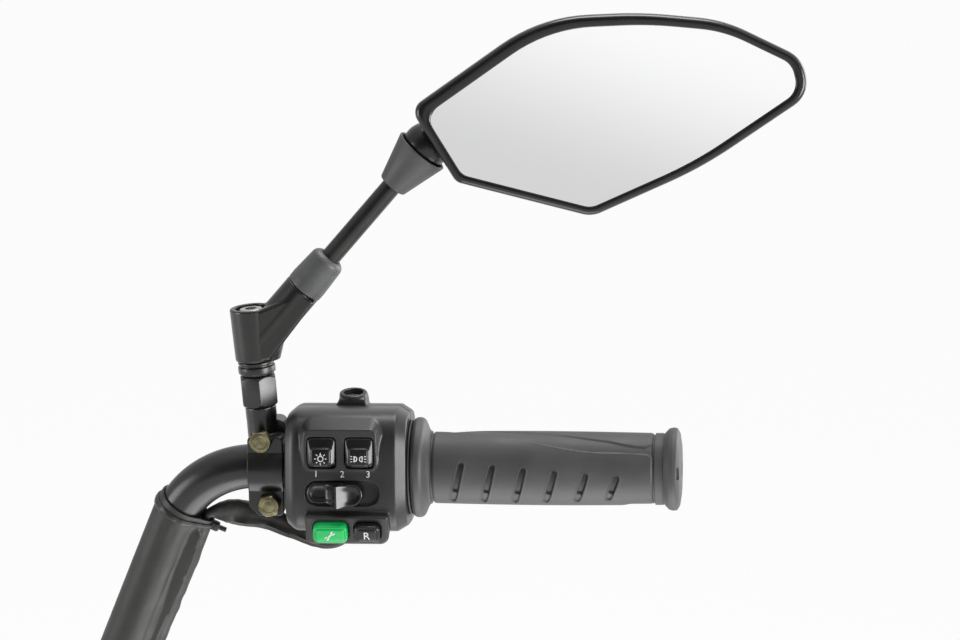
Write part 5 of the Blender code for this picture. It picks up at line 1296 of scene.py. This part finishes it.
# Printed marks: thin raised shapes in X and Z, facing the rider
mark = {"thick": 0.00014, "bulb": 0.00155, "bulbHole": 0.00105, "rays": 8, "rayOut": 0.0026, "lens": 0.0015,
        "lensHole": 0.0010, "lensX": 0.0019, "beamX": 0.0034, "beamStep": 0.0013, "jaw": 0.0011,
        "jawOut": 0.0021, "notchOut": 0.0027, "letter": 0.0056, "digit": 0.0046,
        "digits": (("1", -0.0442), ("2", -0.0312), ("3", -0.0183))}


def markBox(width, height, x, z, degrees=0):
    low, high = (-width / 2, -mark["thick"], -height / 2), (width / 2, mark["thick"], height / 2)
    return roundEdges(boxPiece("mark", shift(x, 0, z) @ turnAbout(degrees, "Y"), low, high), 0.00005, 1)


def markRing(outer, inner, x, z):
    near, far = -mark["thick"], mark["thick"]
    profile = [(near, inner), (near, outer), (far, outer), (far, inner), (near, inner)]
    return turnPiece("mark", shift(x, 0, z) @ turnAbout(90, "X"), profile, 40)


def lampMark(place, body):  # bulb with rays
    parts = [markRing(mark["bulb"], mark["bulbHole"], 0, 0)]
    for k in range(mark["rays"]):
        angle, out = pi / 4 * k, mark["rayOut"]
        parts.append(markBox(0.00095, 0.00042, out * cos(angle), out * sin(angle), -45 * k))
    parts.append(markBox(0.0011, 0.0005, 0, 0.0019))
    printOn(putAt(joinTo(*parts), place), "lamp_mark", body)


def sideLampMark(place, body):  # two lenses back to back, with three beams each
    parts = []
    for side in (-1, 1):
        x = side * mark["lensX"]
        lens = markRing(mark["lens"], mark["lensHole"], x, 0)
        near, far = sorted((x, side * 0.0040))
        carve(lens, boxPiece("outer_half", Matrix(), (near, -0.001, -0.002), (far, 0.001, 0.002)))
        parts += [lens, markBox(0.0005, 0.0030, side * 0.0020, 0)]
        for step in (-1, 0, 1):
            beam = (side * mark["beamX"], step * mark["beamStep"], side * step * -12)
            parts.append(markBox(0.0010, 0.0004, *beam))
    printOn(putAt(joinTo(*parts), place), "side_lamp_mark", body)


def spannerMark(place, body):
    shaft = markBox(0.0008, 0.0034, 0, 0)
    for end in (-1, 1):
        jaw = markRing(mark["jaw"], 0.00001, 0, end * mark["jawOut"])
        notch = (shift(0, 0, end * mark["notchOut"]), (-0.00045, -0.001, -0.0007), (0.00045, 0.001, 0.0007))
        joinTo(shaft, carve(jaw, boxPiece("notch", *notch)))
    printOn(putAt(shaft, place @ turnAbout(45, "Y")), "spanner_mark", body)


def letterMark(name, text, size, place, body):
    clearSelection()
    bpy.ops.object.text_add()
    letters = bpy.context.object
    letters.data.body = text
    letters.data.size = size
    letters.data.align_x = "CENTER"
    letters.data.align_y = "CENTER"
    letters.data.extrude = mark["thick"]
    pick(letters)
    bpy.ops.object.convert(target="MESH")
    printOn(putAt(closeUp(named(name)), place @ turnAbout(90, "X")), name, body)


keyFace, keyMiddle = key["pinY"] - key["proud"] - 0.00002, key["z"] - 0.0028
lampMark(caseFrame @ shift(key["left"], keyFace, keyMiddle), "light_key")
sideLampMark(caseFrame @ shift(key["right"], keyFace, keyMiddle), "position_key")
spannerMark(podFrame @ shift(button["repairX"], -button["proud"], 0), "repair_button")
reversePlace = podFrame @ shift(button["reverseX"], -button["proud"], 0)
letterMark("letter_mark", "R", mark["letter"], reversePlace, "reverse_button")
for digit, x in mark["digits"]:
    place = caseFrame @ shift(x, -case["depth"], 0.0)
    letterMark("digit_" + digit, digit, mark["digit"], place, "bar")
print("stage: keys, slider, buttons and marks")

# Grip with its collar, end flange, slots and the channels between its pads
grip = {"start": 0.0016, "bore": 0.0139, "collar": 0.025, "collarLength": 0.0074, "radius": 0.0179,
        "barrel": 0.0006, "padStart": 0.0122, "padEnd": 0.1212, "groove": 0.0009, "flangeStart": 0.1270,
        "flange": 0.0207, "flangeEnd": 0.1346, "dome": 0.0008, "innerEnd": 0.1296, "sides": 224,
        "step": 0.00032}
gripSlot = {"count": 6, "x": 0.0243, "pitch": 0.01545, "width": 0.0031, "slant": 0.0052, "cut": 0.0022,
            "top": 23, "step": 4, "bottoms": (-54, -54, -54, -52, -49, -45), "rim": 0.0002, "shallow": 0.0009,
            "wall": 0.00035}
channel = {"depth": 0.0006, "edge": 0.00028,  # lines of (x, degrees up from the rider's side)
           "lower": ((0.010, 99), (0.023, 89), (0.050, 67.5), (0.0835, 44), (0.105, 40.0), (0.1185, 38.5),
                     (0.1214, 33)),
           "upper": ((0.010, 125), (0.0405, 103), (0.070, 82), (0.100, 62), (0.117, 51), (0.1214, 58)),
           "below": ((0.010, -150), (0.095, -110), (0.111, -59), (0.1165, -46), (0.1214, -36))}


def readLine(line, x):  # a smooth line through (x, value) points
    spots = [line[0], *line, line[-1]]
    for k in range(1, len(spots) - 2):
        if x <= spots[k + 1][0] or k == len(spots) - 3:
            break
    a, b, c, d = (spots[k + n][1] for n in (-1, 0, 1, 2))
    t = min(max((x - spots[k][0]) / (spots[k + 1][0] - spots[k][0]), 0.0), 1.0)
    return b + ((c - a) * t + (2 * a - 5 * b + 4 * c - d) * t ** 2 + (3 * b - a - 3 * c + d) * t ** 3) / 2


def slotRelief(x, angle):
    index = round((x - gripSlot["x"]) / gripSlot["pitch"])
    if not 0 <= index < gripSlot["count"]:
        return 0.0
    top, bottom = gripSlot["top"] - gripSlot["step"] * index, gripSlot["bottoms"][index]
    middle = gripSlot["x"] + gripSlot["pitch"] * index
    arc = radians(1) * grip["radius"]
    first = Vector((middle + gripSlot["slant"] / 2, top * arc))
    run = Vector((middle - gripSlot["slant"] / 2, bottom * arc)) - first
    here = Vector((x, angle * arc)) - first
    half = gripSlot["width"] / 2
    share = min(max(here.dot(run) / run.length_squared, half / run.length), 1 - half / run.length)
    away = (here - run * share).length - half
    depth = gripSlot["cut"] + (gripSlot["shallow"] - gripSlot["cut"]) * smoothStep(share, 0.66, 0.70)
    rim = gripSlot["rim"] * exp(-((away - gripSlot["wall"]) / 0.0003) ** 2)
    return rim - depth * (1 - smoothStep(away, -gripSlot["wall"], 0.0))


def gripRelief(x, angle):  # angle in degrees up from the side facing the rider
    front = angle if abs(angle) <= 90 else (180 - angle if angle > 0 else -180 - angle)
    arc = radians(1) * grip["radius"]
    soft = channel["edge"]
    aboveLower = (angle - readLine(channel["lower"], x)) * arc
    belowUpper = (readLine(channel["upper"], x) - angle) * arc
    inTop = smoothStep(aboveLower, -soft, soft) * smoothStep(belowUpper, -soft, soft)
    inBelow = smoothStep((readLine(channel["below"], x) - front) * arc, -soft, soft)
    lip = 0.00010 * exp(-((aboveLower + 0.0005) / 0.0004) ** 2)
    return slotRelief(x, front) + lip - channel["depth"] * max(inTop, inBelow)


def gripRows():  # (x, radius) from the bore round the outside to the end wall
    start, collar, body, end = grip["start"], grip["collar"], grip["radius"], grip["flangeEnd"]
    bead, pad, groove = start + grip["collarLength"], grip["padStart"], grip["groove"]
    ring, flange, floor = grip["flangeStart"], grip["flange"], body - groove
    bore = grip["bore"]
    first = softLine([(grip["innerEnd"], bore), (start, bore), (start, collar - 0.0022, 0.0003),
                      (start + 0.0006, collar - 0.0008, 0.0005), (start + 0.0020, collar, 0.0014),
                      (bead - 0.0020, collar, 0.0030), (bead, body + 0.0022, 0.0020),
                      (bead + 0.0010, body + 0.0005, 0.0004), (bead + 0.0018, body + 0.0003, 0.0002),
                      (bead + 0.0020, floor, 0.0002), (pad - 0.0002, floor, 0.0002), (pad, body - 0.0003)], 5)
    count = round((grip["padEnd"] - pad) / grip["step"])
    rows = []
    for k in range(count + 1):
        share = k / count
        edge = 0.0003 * (1 - smoothStep(min(share, 1 - share) * count, 0.0, 2.5))
        rows.append((pad + (grip["padEnd"] - pad) * share, body + grip["barrel"] * sin(pi * share) - edge))
    past = grip["padEnd"] + 0.0003
    last = softLine([(past, body - 0.0006), (past, floor, 0.0002), (past + groove, floor, 0.0002),
                     (past + groove, body, 0.0003), (ring - 0.0008, body, 0.0004),
                     (ring - 0.0002, body - 0.0003, 0.0003), (ring + 0.0006, body + 0.0006, 0.0006),
                     (ring + 0.0022, flange - 0.0005, 0.0012), (ring + 0.0042, flange, 0.0016),
                     (end - 0.0014, flange - 0.0002, 0.0012), (end, flange - 0.0026, 0.0014),
                     (end + grip["dome"], flange * 0.62, 0.004), (end + grip["dome"], 0.0042, 0.0004),
                     (end - 0.0005, 0.0038, 0.0003), (end - 0.0005, 0)], 5)
    last += [(grip["innerEnd"], 0.0), (grip["innerEnd"], bore)]
    return [(*row, False) for row in first] + [(*row, True) for row in rows] + [(*row, False) for row in last]


def makeGrip():
    sides = grip["sides"]

    def shape(side, row):
        x, radius, onPad = row
        angle = 360 * side / sides - 180
        if onPad:
            radius += gripRelief(x, angle)
        return Vector((x, -radius * cos(radians(angle)), radius * sin(radians(angle))))

    piece = wrapRows("grip", barFrame, sides, gripRows(), shape)
    end, depth = grip["flangeEnd"], -grip["flange"] * 0.84
    carve(piece, boxPiece("end_notch", barFrame, (end - 0.0012, -0.03, -0.0004), (end + 0.01, depth, 0.0056)))
    dress(piece, "rubber", "grip_rubber", angle=50)


def makeSeal():
    inner, outer, near, far = 0.0143, 0.0236, gap, gap + 0.001
    corners = [(near, inner), (near, outer, 0.0003), (far, outer, 0.0003), (far, inner)]
    dress(ringPiece("seal", gripFrame, corners, 3, 96), "rubber", "throttle_seal")


makeGrip()
makeSeal()
print("stage: grip")

# CAD nodes that stay as they are get the finish of their slot
slotOf = {}
for entry in frame["record"]["materials"]:
    for node in entry.get("nodes", []):
        slotOf[node] = entry["slot"]
for name, node in frame["nodes"].items():
    if not node.hide_render:
        node.data.materials.clear()
        node.data.materials.append(finishes[slotOf.get(name, "satin_plastic")])

# Floor, light and camera
room = {"floor": -0.6, "size": 16, "white": 0.9647, "keepShadow": 0.09, "front": 0.10}
lamps = {"right_lamp": ((0.85, -0.45, -0.02), 1.5, 0.9, 12), "rim_lamp": ((0.75, 0.62, 0.1), 1.5, 1.0, 4),
         "top_lamp": ((0.1, 0.25, 0.96), 1.5, 0.9, 8), "left_lamp": ((-0.88, -0.3, 0.05), 1.5, 0.8, 5),
         "low_lamp": ((0.1, -0.25, -0.95), 0.62, 0.6, 3)}  # direction, distance, size and brightness
view = {"azimuth": radians(5.3), "elevation": radians(13.0), "roll": 0.94, "offset": (0.0345, 0.0735, 2.0),
        "lens": 150, "sensor": 36}


def makeFloor():
    clearSelection()
    bpy.ops.mesh.primitive_plane_add(size=room["size"], location=(0, 0, room["floor"]))
    floor = named("floor")
    material = bpy.data.materials.new("pale_floor")
    material.use_nodes = True
    tree = material.node_tree
    shader = tree.nodes["Principled BSDF"]
    shader.inputs["Base Color"].default_value = (0.85, 0.85, 0.85, 1)
    shader.inputs["Roughness"].default_value = 0.9
    shader.inputs["Specular IOR Level"].default_value = 0.0
    glow = tree.nodes.new("ShaderNodeEmission")
    glow.inputs["Color"].default_value = (1, 1, 1, 1)
    glow.inputs["Strength"].default_value = 1.0
    mix = tree.nodes.new("ShaderNodeMixShader")
    path = tree.nodes.new("ShaderNodeLightPath")
    seen = tree.nodes.new("ShaderNodeMath")
    seen.operation = "MAXIMUM"
    tree.links.new(path.outputs["Is Camera Ray"], seen.inputs[0])
    tree.links.new(path.outputs["Is Glossy Ray"], seen.inputs[1])
    share = tree.nodes.new("ShaderNodeMath")
    share.operation = "MULTIPLY"
    share.inputs[1].default_value = 1 - room["keepShadow"]
    tree.links.new(seen.outputs[0], share.inputs[0])
    tree.links.new(share.outputs[0], mix.inputs[0])
    tree.links.new(shader.outputs[0], mix.inputs[1])
    tree.links.new(glow.outputs[0], mix.inputs[2])
    tree.links.new(mix.outputs[0], tree.nodes["Material Output"].inputs["Surface"])
    floor.data.materials.append(material)


def facing(tree, place, direction):  # how far a ray runs along a direction, from -1 to 1
    node = tree.nodes.new("ShaderNodeVectorMath")
    node.operation = "DOT_PRODUCT"
    node.inputs[1].default_value = Vector(direction).normalized()
    tree.links.new(place, node.inputs[0])
    return node.outputs["Value"]


def blendLevel(tree, share, first, second):  # first where share is 0, second where it is 1
    node = tree.nodes.new("ShaderNodeMix")
    node.data_type = "FLOAT"
    tree.links.new(share, node.inputs[0])
    for slot, level in ((2, first), (3, second)):
        if isinstance(level, float):
            node.inputs[slot].default_value = level
        else:
            tree.links.new(level, node.inputs[slot])
    return node.outputs[0]


def makeWorld():
    world = bpy.data.worlds.new("studio")
    bpy.context.scene.world = world
    world.use_nodes = True
    tree = world.node_tree
    back = tree.nodes["Background"]
    place = tree.nodes.new("ShaderNodeTexCoord").outputs["Generated"]
    sides = spread(tree, facing(tree, place, (0.8, 0.1, 0.35)), 0.55, 1.0, -0.7, 0.6)
    ahead = spread(tree, facing(tree, place, (0.0, -1.0, 0.12)), 0.0, 1.0, 0.35, 0.86)
    level = blendLevel(tree, ahead, sides, room["front"])
    glassSees = spread(tree, facing(tree, place, (0.15, -0.987, -0.052)), 0.0, 1.0, 0.984, 0.992)
    glassLevel = spread(tree, facing(tree, place, (0.34, 0.0, 0.94)), 0.69, 1.0, 0.025, 0.100)
    level = blendLevel(tree, glassSees, level, glassLevel)
    path = tree.nodes.new("ShaderNodeLightPath")
    level = blendLevel(tree, path.outputs["Is Camera Ray"], level, room["white"])
    tree.links.new(level, back.inputs["Color"])
    back.inputs["Strength"].default_value = 1.0


def softLamp(name, direction, distance, size, level):  # level is how bright the lamp's own disc is
    aim = (cadLow + cadHigh) / 2
    place = aim + Vector(direction).normalized() * distance
    clearSelection()
    bpy.ops.object.light_add(type="AREA", location=place)
    lamp = named(name)
    lamp.data.shape = "DISK"
    lamp.data.size = size
    lamp.data.energy = level * pi * pi * size * size / 4
    lamp.rotation_euler = (aim - place).to_track_quat("-Z", "Y").to_euler()
    lamp.visible_camera = False


def makeCamera():
    azimuth, elevation = view["azimuth"], view["elevation"]
    back = Vector((sin(azimuth) * cos(elevation), -cos(azimuth) * cos(elevation), sin(elevation)))
    right = Vector((cos(azimuth), sin(azimuth), 0))
    turn = Matrix((right, back.cross(right), back)).transposed().to_4x4() @ turnAbout(-view["roll"], "Z")
    place = datum + turn.to_3x3() @ Vector(view["offset"])
    clearSelection()
    bpy.ops.object.camera_add()
    camera = bpy.context.object
    camera.matrix_world = shift(*place) @ turn
    camera.data.lens = view["lens"]
    camera.data.sensor_width = view["sensor"]
    bpy.context.scene.camera = camera


makeFloor()
makeWorld()
for name, settings in lamps.items():
    softLamp(name, *settings)
makeCamera()
bpy.context.scene.view_settings.view_transform = "Standard"
print("stage: camera and light")
